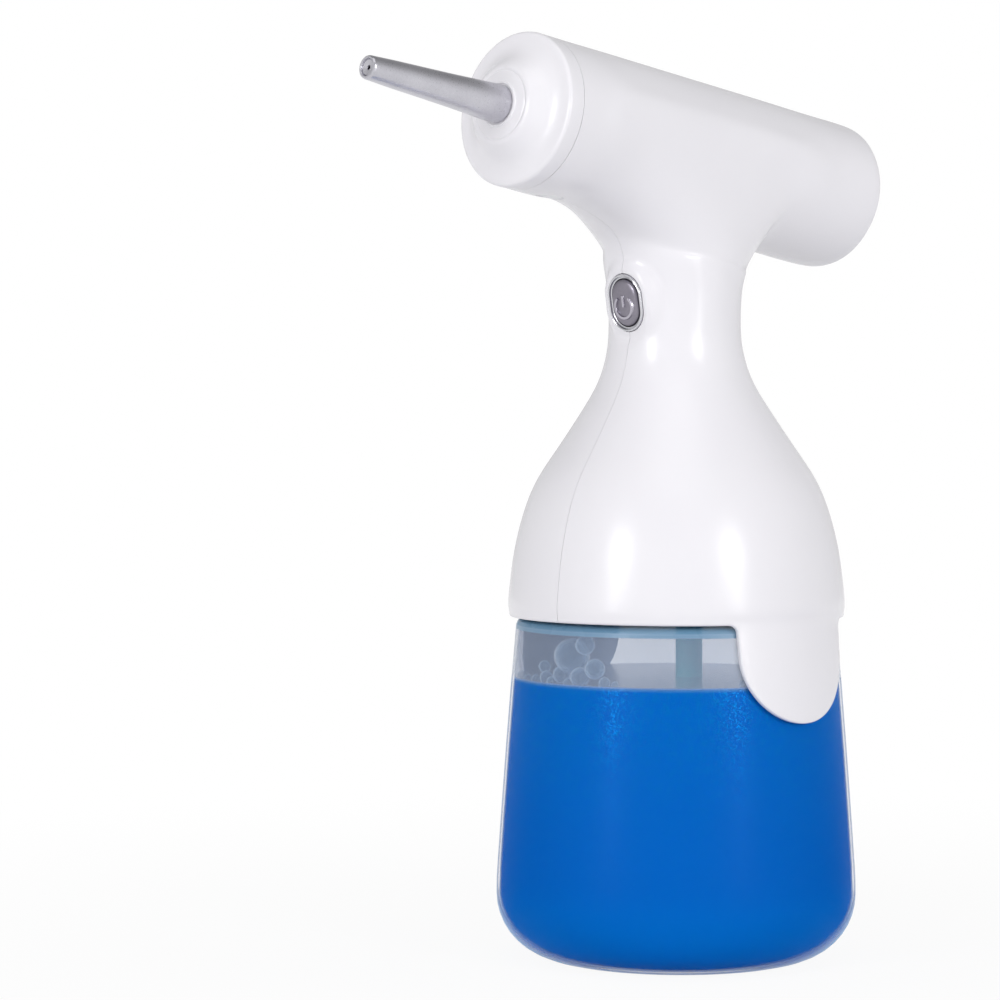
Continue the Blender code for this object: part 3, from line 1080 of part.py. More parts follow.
bottle()
gasket()
shells()
front_cap()
nozzle()
power_button()
thread_collar()
pump()
motor()
tubes()
foam_chamber()
electronics()
hand_sensor()
motor_leads()
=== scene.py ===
"""The looks of an automatic foaming soap dispenser: a white T-shaped head on a frosted bottle of soap."""

import math

import bmesh
import bpy
import numpy as np
from mathutils import Matrix, Vector


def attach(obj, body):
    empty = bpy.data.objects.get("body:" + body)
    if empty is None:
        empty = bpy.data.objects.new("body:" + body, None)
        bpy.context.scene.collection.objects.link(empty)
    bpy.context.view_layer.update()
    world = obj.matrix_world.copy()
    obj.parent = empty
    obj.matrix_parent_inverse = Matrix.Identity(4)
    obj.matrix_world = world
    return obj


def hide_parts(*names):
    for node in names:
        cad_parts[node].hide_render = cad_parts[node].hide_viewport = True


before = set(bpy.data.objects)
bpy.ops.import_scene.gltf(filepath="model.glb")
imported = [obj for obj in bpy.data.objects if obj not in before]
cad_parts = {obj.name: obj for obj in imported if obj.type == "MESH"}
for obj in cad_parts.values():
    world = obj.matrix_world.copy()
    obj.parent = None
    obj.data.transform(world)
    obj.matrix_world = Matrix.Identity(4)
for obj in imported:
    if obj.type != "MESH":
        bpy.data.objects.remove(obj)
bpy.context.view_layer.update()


# The housing is two white ABS mouldings that meet on the centre plane: half a cylinder for the head, half a
# neck and half a bell, with a rounded drip tongue over the bottle. One surface is extruded from the head down
# to a skirt round the bottle, cut in two and given its wall, and the skirt is trimmed to the rim and tongues.
MM = 0.001
HEAD_RADIUS = 16.9 * MM
HEAD_HEIGHT = 180.3 * MM
HEAD_TILT = 8.2          # degrees that the front of the head points up
HEAD = Matrix.Translation((0, 0, HEAD_HEIGHT)) @ Matrix.Rotation(math.radians(90 - HEAD_TILT), 4, "X")
# Places of the rows along the head, from the front, and the rear rows' places and radii.
HEAD_POINTS = 12
HEAD_ROWS = (47.0 * MM, 39.0 * MM, 31.0 * MM, 17.25 * MM, 3.5 * MM, -10.25 * MM, -24.0 * MM, -38.0 * MM,
             -49.3 * MM)
REAR_ROWS = ((-51.5 * MM, 16.2 * MM), (-52.1 * MM, 14.2 * MM), (-52.1 * MM, 9.0 * MM))
NECK_FIRST = 2           # head rows between which the neck opens
NECK_LAST = 6
# Rows of the flare: depth under the head's axis, half width, and reach to the front and to the rear.
FLARE_ROWS = ((19.8 * MM, 16.1 * MM, 22.3 * MM, 19.0 * MM), (24.6 * MM, 15.5 * MM, 17.7 * MM, 15.8 * MM))
# Rows of the neck and bell, in millimetres: height, radius, and how far the middle stands ahead.
BELL_ROWS = ((150.3, 15.2, 0.6), (143.0, 14.8, 0.6), (136.5, 15.25, 0.5), (129.8, 17.2, 0.3),
             (123.0, 21.05, 0.1), (114.0, 27.0, 0.0), (105.0, 32.45, 0.0), (94.0, 35.9, 0.0),
             (86.0, 37.2, 0.0), (80.6, 37.75, 0.0), (78.2, 37.65, 0.0))
# Bearings of the points in each of those rows, from the front over the left.
COLUMNS = [math.radians(18 * column) for column in range(20)]
SURFACE_LEVELS = 3
# The skirt and its tongues, in millimetres like the bottle that they stand round.
SKIRT_HEIGHTS = (76.3, 71.0, 62.0, 53.0)
BOTTLE_CONE = ((16.0, 40.4), (76.4, 35.9))      # height and radius near the foot and at the shoulder
SHELL_WALL = 1.3
RIM_HEIGHT = 76.75
RIM_STEPS = 28
TONGUE_HALF_WIDTH = 16.3
TONGUE_ROOT_HALF_WIDTH = 16.5
TONGUE_CENTRE = 70.0
TONGUE_DROP = 15.0
TONGUE_FILLET = 1.7
TONGUE_OUT = 0.35        # between the tongue and the bottle
# The cutter's rings along the edge: how far each stands out of the skirt, and how far back from the edge.
EDGE_PROFILE = ((8.0, 1.2), (0.3, 1.2), (0.0, 0.42), (-0.08, 0.22), (-0.25, 0.07), (-0.5, 0.0), (-6.0, 0.0))
CUTTER_OUTSIDE = 45.0
CUTTER_INSIDE = 30.0
CUTTER_FOOT = 40.0
CUTTER_SIDES = 48
ON_LINE = 0.001 * MM     # a point this near the middle line lies on it
SEAM = 0.08 * MM
SEAM_MERGE = 0.0001 * MM
SHELL_EDGE = 0.05 * MM
# The button's own frame has its axis along Z, pointing out of the neck, and its origin on the stem's axis.
BUTTON_OUT = 16.2 * MM
BUTTON_HEIGHT = 146.8 * MM
BUTTON_FRAME = (Matrix.Translation((0, -BUTTON_OUT, BUTTON_HEIGHT))
                @ Matrix.Rotation(math.radians(100), 4, "X") @ Matrix.Translation((0, 0, -BUTTON_OUT)))
BOSS_PLANE = 16.3 * MM
BOSS_HALF_WIDTH = 5.9 * MM
BOSS_STRAIGHT = 1.5 * MM
BOSS_FADE = 2.6 * MM
BOSS_AREA = (12 * MM, 14 * MM, 8 * MM)      # half width, half height and least distance out that may move
# Openings: half width, half of the straight part, and where the cut starts and ends.
BUTTON_HOLE = (5.12 * MM, 1.45 * MM, 8 * MM, 20 * MM)
SENSOR_HOLE = (2.36 * MM, 0.9 * MM, -20 * MM, -14 * MM)
PORT_HOLE = (1.9 * MM, 2.9 * MM, -60 * MM, -49 * MM)
SENSOR_ALONG = 38 * MM
PORT_UP = -8.7 * MM


def extruded_row(bm, row, closed, places):
    """Extrude a row of vertices into one more row of faces and lay the new row on its places."""
    follow = row[1:] + row[:1] if closed else row[1:]
    edges = [bm.edges.get(pair) for pair in zip(row, follow)]
    made = bmesh.ops.extrude_edge_only(bm, edges=edges)["geom"]
    fresh = {tuple(v.co): v for v in made if isinstance(v, bmesh.types.BMVert)}
    new_row = [fresh[tuple(v.co)] for v in row]
    for v, place in zip(new_row, places):
        v.co = place
    return new_row


def cone_radius(height):
    """The bottle's outer radius at a height, both in millimetres."""
    (low, wide), (high, narrow) = BOTTLE_CONE
    return wide + (height - low) / (high - low) * (narrow - wide)


def on_surface(bm):
    """Move the cage so that its smoothed surface passes through the points as they were drawn."""
    bm.verts.index_update()
    weights = np.zeros((len(bm.verts), len(bm.verts)))
    for v in bm.verts:
        row = weights[v.index]
        rims = [edge.other_vert(v).index for edge in v.link_edges if edge.is_boundary]
        if rims:
            row[v.index] = 4 / 6
            row[rims] = 1 / 6
        else:
            count = len(v.link_edges)
            row[v.index] = count / (count + 5)
            row[[edge.other_vert(v).index for edge in v.link_edges]] = 4 / (count * (count + 5))
            for face in v.link_faces:
                corners = list(face.verts)
                row[corners[corners.index(v) - 2].index] += 1 / (count * (count + 5))
    drawn = np.array([v.co[:] for v in bm.verts])
    for v, place in zip(bm.verts, np.linalg.solve(weights, drawn)):
        v.co = place


def as_mesh(bm, name):
    """Write the bmesh to a new mesh and free it."""
    mesh = bpy.data.meshes.new(name)
    bm.to_mesh(mesh)
    bm.free()
    return mesh


def in_scene(name, data):
    """Put a new object with that data in the scene."""
    made = bpy.data.objects.new(name, data)
    bpy.context.scene.collection.objects.link(made)
    return made


def smoothed(bm, levels):
    """The bmesh's surface as a new mesh after that many levels of subdivision."""
    cage = in_scene("cage", as_mesh(bm, "cage"))
    subdivision = cage.modifiers.new("smooth", "SUBSURF")
    subdivision.levels = subdivision.render_levels = levels
    bpy.context.view_layer.update()
    made = bpy.data.meshes.new_from_object(cage.evaluated_get(bpy.context.evaluated_depsgraph_get()))
    bpy.data.objects.remove(cage)
    return made


def housing_surface():
    """The outside of head, neck, bell and skirt as one smooth mesh, open at the front and below."""
    bm = bmesh.new()
    row = bmesh.ops.create_circle(bm, segments=HEAD_POINTS, radius=HEAD_RADIUS)["verts"]
    row.sort(key=lambda v: (math.atan2(v.co.y, v.co.x) + 0.01) % math.tau)
    around = [v.co.copy() for v in row]
    rows = []
    for along, radius in [(s, HEAD_RADIUS) for s in HEAD_ROWS] + list(REAR_ROWS):
        places = [HEAD @ Vector((p.x * radius / HEAD_RADIUS, p.y * radius / HEAD_RADIUS, along))
                  for p in around]
        if rows:
            row = extruded_row(bm, row, True, places)
        else:
            for v, place in zip(row, places):
                v.co = place
        rows.append(row)
    centre = bm.verts.new(HEAD @ Vector((0, 0, REAR_ROWS[-1][0])))
    for pair in range(0, HEAD_POINTS, 2):
        bm.faces.new((row[pair], row[pair + 1], row[(pair + 2) % HEAD_POINTS], centre))

    # the points of a row run from the left side over the top, so the last six spans are below
    under = []
    for first, second in zip(rows[NECK_FIRST:NECK_LAST], rows[NECK_FIRST + 1:NECK_LAST + 1]):
        for k in range(HEAD_POINTS // 2, HEAD_POINTS):
            span = {first[k], first[(k + 1) % HEAD_POINTS], second[k]}
            under += [face for face in first[k].link_faces if span <= set(face.verts)]
    # the opening's edge, once round it from below the front of the neck
    front, rear = rows[NECK_FIRST], rows[NECK_LAST]
    between = rows[NECK_FIRST + 1:NECK_LAST]
    ring = [front[k] for k in (9, 10, 11, 0)] + [inner[0] for inner in between]
    ring += [rear[k] for k in (0, 11, 10, 9, 8, 7, 6)] + [inner[6] for inner in reversed(between)]
    ring += [front[k] for k in (6, 7, 8)]
    bmesh.ops.delete(bm, geom=under, context="FACES")

    for drop, side, reach_front, reach_rear in FLARE_ROWS:
        centre_along = -drop * math.tan(math.radians(HEAD_TILT))
        places = []
        for angle in COLUMNS:
            reach = reach_front if math.cos(angle) > 0 else reach_rear
            along = centre_along + reach * math.cos(angle)
            places.append(HEAD @ Vector((side * math.sin(angle), -drop, along)))
        ring = extruded_row(bm, ring, True, places)
    rows = list(BELL_ROWS)
    rows += [(height, cone_radius(height) + TONGUE_OUT + SHELL_WALL, 0.0) for height in SKIRT_HEIGHTS]
    for height, radius, ahead in rows:
        places = [Vector((radius * math.sin(angle), -radius * math.cos(angle) - ahead, height)) * MM
                  for angle in COLUMNS]
        ring = extruded_row(bm, ring, True, places)
    bmesh.ops.recalc_face_normals(bm, faces=bm.faces)
    on_surface(bm)
    return smoothed(bm, SURFACE_LEVELS)


def raise_button_boss(mesh):
    """Lift the front of the neck into a soft flat oval that carries the button."""
    to_button = BUTTON_FRAME.inverted()
    half_width, half_height, least_out = BOSS_AREA
    for v in mesh.vertices:
        place = to_button @ v.co
        if place.z < least_out or abs(place.x) > half_width or abs(place.y) > half_height:
            continue
        distance = math.hypot(place.x, max(abs(place.y) - BOSS_STRAIGHT, 0)) - BOSS_HALF_WIDTH
        share = min(1, max(0, 1 - distance / BOSS_FADE))
        place.z += (BOSS_PLANE - place.z) * share * share * (3 - 2 * share)
        v.co = BUTTON_FRAME @ place


def oval_cutter(name, half_width, straight, low, high, place):
    """A slot-shaped bar made by stretching a round one, placed as a hidden cutting tool."""
    bm = bmesh.new()
    bmesh.ops.create_cone(bm, cap_ends=True, segments=CUTTER_SIDES, radius1=half_width, radius2=half_width,
                          depth=high - low, matrix=Matrix.Translation((0, 0, (low + high) / 2)))
    for v in bm.verts:
        v.co.y += math.copysign(straight, v.co.y) if abs(v.co.y) > ON_LINE else 0
    bm.transform(place)
    return in_scene(name, as_mesh(bm, name))


def skirt_edge():
    """Bearing and height of points along the rim and round both tongues, once round the bottle."""
    quarter = []
    for turn in range(0, 91, 5):
        a = math.radians(turn)
        quarter.append((TONGUE_HALF_WIDTH * math.sin(a), TONGUE_CENTRE - TONGUE_DROP * math.cos(a)))
    for turn in range(0, 91, 15):
        a = math.radians(turn)
        quarter.append((TONGUE_ROOT_HALF_WIDTH + TONGUE_FILLET * (1 - math.cos(a)),
                        RIM_HEIGHT - TONGUE_FILLET * (1 - math.sin(a))))
    quarter = [(math.asin(across / (cone_radius(height) + TONGUE_OUT + SHELL_WALL)), height)
               for across, height in quarter]
    start = quarter[-1][0]
    quarter += [(start + (math.pi / 2 - start) * step / RIM_STEPS, RIM_HEIGHT)
                for step in range(1, RIM_STEPS + 1)]
    tongue = [(-bearing, height) for bearing, height in reversed(quarter[1:])] + quarter[:-1]
    return [(bearing + middle, height) for middle in (math.pi / 2, math.pi * 3 / 2)
            for bearing, height in tongue]


def skirt_cutter():
    """A block round the skirt that leaves the two tongues and rounds their edges and the rim."""
    edge = skirt_edge()
    rings = [[(CUTTER_OUTSIDE, bearing, CUTTER_FOOT) for bearing, height in edge]]
    for out, back in EDGE_PROFILE:
        ring = []
        for k, (bearing, height) in enumerate(edge):
            radius = cone_radius(height) + TONGUE_OUT + SHELL_WALL
            (before, low), (after, high) = edge[k - 1], edge[(k + 1) % len(edge)]
            turn = (after - before + math.pi) % math.tau - math.pi
            along = Vector((turn * radius, high - low)).normalized()
            ring.append((radius + out, bearing - along.y * back / radius, height + along.x * back))
        rings.append(ring)
    rings.append([(CUTTER_INSIDE, bearing, CUTTER_FOOT) for bearing, height in edge])
    placed = [[Vector((radius * math.sin(bearing), -radius * math.cos(bearing), height)) * MM
               for radius, bearing, height in ring] for ring in rings]
    bm = bmesh.new()
    row = [bm.verts.new(place) for place in placed[0]]
    first = [bm.edges.new(pair) for pair in zip(row, row[1:] + row[:1])]
    for places in placed[1:]:
        row = extruded_row(bm, row, True, places)
    last = [bm.edges.get(pair) for pair in zip(row, row[1:] + row[:1])]
    bmesh.ops.bridge_loops(bm, edges=first + last)
    bmesh.ops.recalc_face_normals(bm, faces=bm.faces)
    return in_scene("skirt_cutter", as_mesh(bm, "skirt_cutter"))


def applied(obj):
    """Replace the object's mesh by what its modifiers make of it."""
    bpy.context.view_layer.update()
    made = bpy.data.meshes.new_from_object(obj.evaluated_get(bpy.context.evaluated_depsgraph_get()))
    obj.modifiers.clear()
    obj.data = made


def rounded_look(obj, degrees=35):
    """Shade the object smooth, with edges sharper than that angle kept sharp."""
    obj.data.shade_smooth()
    obj.data.set_sharp_from_angle(angle=math.radians(degrees))


class Shade:
    """A node socket that takes ordinary maths; node() adds any other node to the same material."""

    def __init__(self, tree, socket=None):
        self.tree = tree
        self.socket = socket

    def node(self, kind, output=0, inputs=None, **settings):
        """Add a node: its settings first, then the values or links of its input sockets."""
        made = self.tree.nodes.new(kind)
        for name, value in settings.items():
            setattr(made, name, value)
        for key, value in (inputs or {}).items():
            self.feed(made.inputs[key], value)
        return Shade(self.tree, made.outputs[output])

    def feed(self, socket, value):
        if isinstance(value, Shade):
            self.tree.links.new(value.socket, socket)
        else:
            socket.default_value = value

    def maths(self, operation, first, second=0.0):
        return self.node("ShaderNodeMath", inputs={0: first, 1: second}, operation=operation)

    def __add__(self, other):
        return self.maths("ADD", self, other)

    def __sub__(self, other):
        return self.maths("SUBTRACT", self, other)

    def __rsub__(self, other):
        return self.maths("SUBTRACT", other, self)

    def __mul__(self, other):
        return self.maths("MULTIPLY", self, other)

    def __pow__(self, other):
        return self.maths("POWER", self, other)

    __radd__ = __add__
    __rmul__ = __mul__


class Finish(Shade):
    """A new Principled material, with the few patterns that this object's finishes are made from."""

    def __init__(self, name):
        self.look = bpy.data.materials.new(name)
        self.look.use_nodes = True
        super().__init__(self.look.node_tree)
        self.shader = self.tree.nodes["Principled BSDF"]

    def place(self):
        return self.node("ShaderNodeTexCoord", "Object")

    def noise(self, per_metre, detail=2.0, stretch=(1, 1, 1)):
        """Soft noise from 0 to 1 with so many blobs in a metre."""
        placed = self.node("ShaderNodeMapping", inputs={"Vector": self.place(), "Scale": stretch})
        inputs = {"Vector": placed, "Scale": per_metre, "Detail": detail}
        return self.node("ShaderNodeTexNoise", "Fac", inputs)

    def between(self, share, first, second):
        """A colour that goes from the first to the second as share goes from 0 to 1."""
        inputs = {0: share, 6: first, 7: second}
        return self.node("ShaderNodeMix", 2, inputs, data_type="RGBA")

    def rise(self, value, low, high):
        """0 below low, 1 above high and smooth between."""
        inputs = {0: value, 1: low, 2: high}
        return self.node("ShaderNodeMapRange", 0, inputs, interpolation_type="SMOOTHSTEP")

    def bump(self, height, strength, depth):
        return self.node("ShaderNodeBump", inputs={"Height": height, "Strength": strength, "Distance": depth})

    def set(self, **sockets):
        for name, value in sockets.items():
            self.feed(self.shader.inputs[name.replace("_", " ")], value)
        return self.look


def white_plastic():
    """Glossy moulded ABS with a faint cool tint and the slight ripple of a thick moulding."""
    finish = Finish("white_abs")
    mottle = finish.noise(60)
    grain = finish.noise(2200, 3)
    ripple = finish.noise(45, 1)
    color = finish.between(mottle, (0.825, 0.812, 0.852, 1), (0.850, 0.838, 0.874, 1))
    return finish.set(Base_Color=color, Roughness=0.22 + 0.05 * grain,
                      Normal=finish.bump(ripple + 0.004 * grain, 0.08, 0.4 * MM))


def new_piece(name, mesh, body, slot, look, *nodes):
    """Put a finished mesh in the scene as a piece that rides on a body and stands for CAD nodes."""
    made = in_scene(name, mesh)
    made.data.materials.clear()
    made.data.materials.append(look)
    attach(made, body)
    if nodes:
        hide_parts(*nodes)
    return made


abs_white = white_plastic()
surface = housing_surface()
raise_button_boss(surface)
button_hole = oval_cutter("button_hole", *BUTTON_HOLE, BUTTON_FRAME)
sensor_place = HEAD @ Matrix.Translation((0, 0, SENSOR_ALONG)) @ Matrix.Rotation(-math.pi / 2, 4, "X")
sensor_hole = oval_cutter("sensor_hole", *SENSOR_HOLE, sensor_place)
port_place = HEAD @ Matrix.Translation((0, PORT_UP, 0)) @ Matrix.Rotation(math.pi / 2, 4, "Z")
port_hole = oval_cutter("port_hole", *PORT_HOLE, port_place)
below_rim = skirt_cutter()
for shell_name, side in (("left_shell", 1), ("right_shell", -1)):
    bm = bmesh.new()
    bm.from_mesh(surface)
    bmesh.ops.bisect_plane(bm, geom=bm.verts[:] + bm.edges[:] + bm.faces[:], dist=SEAM_MERGE,
                           plane_co=(side * SEAM / 2, 0, 0), plane_no=(-side, 0, 0), clear_outer=True)
    half = as_mesh(bm, shell_name)
    shell = new_piece("housing_" + shell_name, half, "housing", "white_shell", abs_white, shell_name)
    wall = shell.modifiers.new("wall", "SOLIDIFY")
    wall.thickness = SHELL_WALL * MM
    wall.offset = -1
    for hole in (below_rim, button_hole, sensor_hole, port_hole):
        opening = shell.modifiers.new(hole.name, "BOOLEAN")
        opening.operation = "DIFFERENCE"
        opening.object = hole
    applied(shell)
    edge = shell.modifiers.new("edges", "BEVEL")
    edge.width = SHELL_EDGE
    edge.segments = 2
    edge.limit_method = "ANGLE"
    edge.angle_limit = math.radians(60)
    rounded_look(shell, 50)
for hole in (below_rim, button_hole, sensor_hole, port_hole):
    bpy.data.objects.remove(hole)


# The front cap is a round white moulding pushed into the front of the head: a rounded rim, a soft
# hump and a raised disc with a fine groove round it, and a thin lip where the nozzle comes out. Its outline,
# like those of all turned pieces, is radius and height in millimetres.
CAP_OUTLINE = ((3.5, 55.9), (4.4, 55.9), (4.6, 56.05), (4.85, 56.0), (5.0, 55.75), (5.3, 55.65), (7.1, 55.65),
               (7.3, 55.57), (7.5, 55.48), (7.7, 55.55), (7.95, 55.6), (8.4, 55.5), (9.0, 55.1), (9.8, 54.35),
               (10.7, 53.4), (11.6, 52.6), (12.5, 52.05), (13.4, 51.65), (14.3, 51.4), (15.2, 51.27),
               (16.0, 51.2), (16.4, 51.12), (16.68, 50.93), (16.84, 50.66), (16.9, 50.3), (16.9, 47.12),
               (16.86, 47.08), (15.2, 47.08), (15.2, 43.5), (13.6, 43.5), (13.6, 49.4), (8.4, 49.4),
               (8.4, 42.6), (6.9, 42.6), (6.9, 49.4), (3.5, 49.4))
SIDES = 96               # facets round a turned piece
TURNED_MERGE = 0.0005 * MM


def turned(outline, place=Matrix(), closed=True, sides=SIDES):
    """Spin an outline of (radius, height) in millimetres round its own axis and put it in place."""
    bm = bmesh.new()
    points = [bm.verts.new((radius * MM, 0, height * MM)) for radius, height in outline]
    pairs = list(zip(points, points[1:] + points[:1])) if closed else list(zip(points, points[1:]))
    edges = [bm.edges.new(pair) for pair in pairs]
    bmesh.ops.spin(bm, geom=points + edges, axis=(0, 0, 1), cent=(0, 0, 0), dvec=(0, 0, 0),
                   angle=math.tau, steps=sides, use_merge=True, use_duplicate=False)
    bmesh.ops.remove_doubles(bm, verts=bm.verts, dist=TURNED_MERGE)
    bmesh.ops.recalc_face_normals(bm, faces=bm.faces)
    bm.transform(place)
    return as_mesh(bm, "turned")


cap = new_piece("cap_front", turned(CAP_OUTLINE, HEAD), "housing", "white_shell", abs_white, "front_cap")
rounded_look(cap)


# The nozzle is a tapered metal spout with a satin finish. A small pressed insert with the foam orifice sits
# just inside its rounded end.
NOZZLE_OUTLINE = ((1.8, 93.7), (1.95, 93.93), (2.25, 93.93), (2.45, 93.75), (2.55, 93.4), (2.6, 92.4),
                  (2.88, 87.0), (3.14, 80.0), (3.46, 71.5), (3.84, 63.5), (4.25, 56.35), (4.23, 56.15),
                  (4.13, 56.05), (3.2, 56.0), (3.2, 50.4), (1.3, 50.4), (1.3, 92.6), (1.8, 92.6))
TIP_OUTLINE = ((0.42, 93.2), (0.52, 93.38), (0.8, 93.45), (1.3, 93.5), (1.6, 93.55), (1.78, 93.45),
               (1.78, 92.9), (0.42, 92.9))
SMALL_SIDES = 48
NOZZLE_LIGHT = (0.69, 0.685, 0.73, 1)
NOZZLE_DARK = (0.45, 0.445, 0.49, 1)


def satin_metal(name, color, dark, roughness, speckle):
    """Bead-blasted metal: a fine sparkle over a satin sheen."""
    finish = Finish(name)
    grain = finish.noise(3200, 4)
    shade = finish.between(0.6 * finish.noise(140) + 0.4 * finish.noise(2400, 2), dark, color)
    return finish.set(Base_Color=shade, Metallic=1.0, Roughness=roughness + 0.10 * grain,
                      Normal=finish.bump(grain, speckle, 0.08 * MM))


satin = satin_metal("satin_nozzle_metal", NOZZLE_LIGHT, NOZZLE_DARK, 0.24, 0.5)
spout = new_piece("nozzle_spout", turned(NOZZLE_OUTLINE, HEAD), "housing", "satin_metal", satin, "nozzle")
rounded_look(spout)
insert = new_piece("nozzle_insert", turned(TIP_OUTLINE, HEAD, sides=SMALL_SIDES), "housing", "satin_metal",
                   satin, "nozzle_tip")
rounded_look(insert)


# The power button is an oval of satin metal with a shallow domed face and a raised on-off sign, in a bright
# ring that is pressed into the neck.
BUTTON_OUTLINE = ((0.0, 10.3), (1.5, 10.3), (1.5, 11.9), (4.5, 11.9), (4.5, 12.9), (3.83, 12.9), (3.83, 16.2),
                  (3.76, 16.52), (3.55, 16.75), (3.15, 16.92), (2.4, 17.05), (0.0, 17.15))
RING_OUTLINE = ((3.95, 13.4), (3.95, 16.15), (4.02, 16.33), (4.18, 16.4), (4.3, 16.33), (4.37, 16.45),
                (4.48, 16.75), (4.66, 16.87), (4.85, 16.78), (4.96, 16.5), (5.0, 16.1), (5.0, 13.4))
BUTTON_STRAIGHT = 1.4 * MM
RING_EASE = 0.05 * MM
SIGN_LOW = 16.95 * MM
SIGN_HIGH = 17.4 * MM
SIGN_RADIUS = 2.45       # in millimetres, as is its half width
SIGN_HALF_WIDTH = 0.42
SIGN_TAPER = 0.6         # width of the sign's top as a share of its foot's
SIGN_START = math.radians(130)
SIGN_SWEEP = math.radians(280)
SIGN_STEPS = 40
SIGN_BAR = 2.6 * MM
SIGN_BAR_UP = 1.35 * MM
SIGN_DROP = 0.9 * MM
BUTTON_LIGHT = (0.34, 0.32, 0.37, 1)
BUTTON_DARK = (0.17, 0.16, 0.195, 1)
RING_LIGHT = (0.66, 0.66, 0.69, 1)
RING_DARK = (0.62, 0.62, 0.65, 1)
SIGN_LIGHT = (0.50, 0.48, 0.54, 1)
SIGN_DARK = (0.44, 0.42, 0.48, 1)


def stretched(mesh, straight, place):
    """Turn a round piece into an oval one by moving its upper and lower halves apart."""
    bm = bmesh.new()
    bm.from_mesh(mesh)
    for v in bm.verts:
        if abs(v.co.y) > ON_LINE:
            v.co.y += math.copysign(straight, v.co.y)
    bm.transform(place)
    bm.to_mesh(mesh)
    bm.free()
    return mesh


def on_off_sign():
    """An open ring with a bar, raised on the button's face."""
    bm = bmesh.new()
    corners = [(SIGN_RADIUS - SIGN_HALF_WIDTH, SIGN_LOW),
               (SIGN_RADIUS - SIGN_HALF_WIDTH * SIGN_TAPER, SIGN_HIGH),
               (SIGN_RADIUS + SIGN_HALF_WIDTH * SIGN_TAPER, SIGN_HIGH),
               (SIGN_RADIUS + SIGN_HALF_WIDTH, SIGN_LOW)]
    section = [bm.verts.new((math.cos(SIGN_START) * radius * MM, math.sin(SIGN_START) * radius * MM, height))
               for radius, height in corners]
    bmesh.ops.spin(bm, geom=[bm.faces.new(section)], axis=(0, 0, 1), cent=(0, 0, 0), dvec=(0, 0, 0),
                   angle=SIGN_SWEEP, steps=SIGN_STEPS, use_duplicate=False)
    bar = bmesh.ops.create_cube(bm, size=1)["verts"]
    middle = (SIGN_LOW + SIGN_HIGH) / 2
    bmesh.ops.scale(bm, verts=bar, vec=(2 * SIGN_HALF_WIDTH * MM, SIGN_BAR, SIGN_HIGH - SIGN_LOW))
    bmesh.ops.translate(bm, verts=bar, vec=(0, SIGN_BAR_UP, middle))
    bmesh.ops.scale(bm, verts=[v for v in bar if v.co.z > middle], vec=(SIGN_TAPER, 0.95, 1))
    bmesh.ops.recalc_face_normals(bm, faces=bm.faces)
    bm.transform(BUTTON_FRAME @ Matrix.Translation((0, -SIGN_DROP, 0)))
    return as_mesh(bm, "on_off_sign")


button_metal = satin_metal("button_metal", BUTTON_LIGHT, BUTTON_DARK, 0.28, 0.5)
ring_metal = satin_metal("ring_metal", RING_LIGHT, RING_DARK, 0.14, 0.02)
sign_metal = satin_metal("sign_metal", SIGN_LIGHT, SIGN_DARK, 0.20, 0.10)
face_mesh = stretched(turned(BUTTON_OUTLINE, closed=False), BUTTON_STRAIGHT, BUTTON_FRAME)
button = new_piece("button_face", face_mesh, "button_body", "satin_metal", button_metal, "button")
rounded_look(button, 60)
sign = new_piece("button_sign", on_off_sign(), "button_body", "satin_metal", sign_metal)
rounded_look(sign, 60)
ring_mesh = stretched(turned(RING_OUTLINE), BUTTON_STRAIGHT + RING_EASE, BUTTON_FRAME)
ring = new_piece("button_ring", ring_mesh, "housing", "bright_bezel", ring_metal, "button_bezel")
rounded_look(ring)


# The bottle is blown from frosted PET: a flat foot with a wide soft corner, a slight taper, a shoulder under
# the bell and a wide mouth with four thread beads, which are swept round it at the thread's lead.
FOOT_CORNER = (25.9, 14.5)
BOTTLE_SIDES = 128


def foot_corner(radius, turns):
    """Points on a quarter circle round the foot's corner, at those angles below its centre."""
    out, up = FOOT_CORNER
    return [(out + radius * math.cos(math.radians(turn)), up - radius * math.sin(math.radians(turn)))
            for turn in turns]


BOTTLE_OUTLINE = [(25.2, 88.2), (26.8, 88.2), (26.8, 76.9), (27.2, 76.4), (34.2, 76.4), (35.0, 76.2),
                  (35.6, 75.7), (35.95, 74.9), (36.07, 73.9), (37.2, 60.9), (38.35, 46.5), (39.4, 32.1),
                  (40.1, 22.0), (40.35, 18.0)]
BOTTLE_OUTLINE += foot_corner(14.5, range(0, 91, 9)) + [(25.0, 0.05), (23.5, 0.5), (0.0, 0.8)]
BOTTLE_INSIDE = [(0.0, 1.3), (25.0, 0.6)] + foot_corner(13.95, range(81, -1, -9))
BOTTLE_INSIDE += [(39.55, 22.0), (38.85, 32.1), (37.8, 46.5), (36.65, 60.9), (35.4, 73.6), (34.9, 74.6),
                  (33.9, 75.2), (26.0, 75.2), (25.2, 75.8)]
MOUTH_RADIUS = 26.8 * MM
BEADS = 4
BEAD_RADIUS = 1.25 * MM
BEAD_POINTS = 12
BEAD_HEIGHT = 79.2 * MM
BEAD_START = 7           # degrees
BEAD_SWEEP = math.radians(100)
BEAD_STEPS = 30
BEAD_LEAD = 24.0 * MM
# Heights over which the bottle's look changes: off the foot, out of the soap, and into and out of the line of
# painted shade under the shoulder; the painted shade of the shoulder band starts where that line ends.
FOOT_ENDS = (5 * MM, 18 * MM)
DRY_BEGINS = (62.8 * MM, 63.3 * MM)
SHADE_LINE_BEGINS = (73.8 * MM, 74.2 * MM)
SHADE_LINE_ENDS = (74.6 * MM, 75.1 * MM)


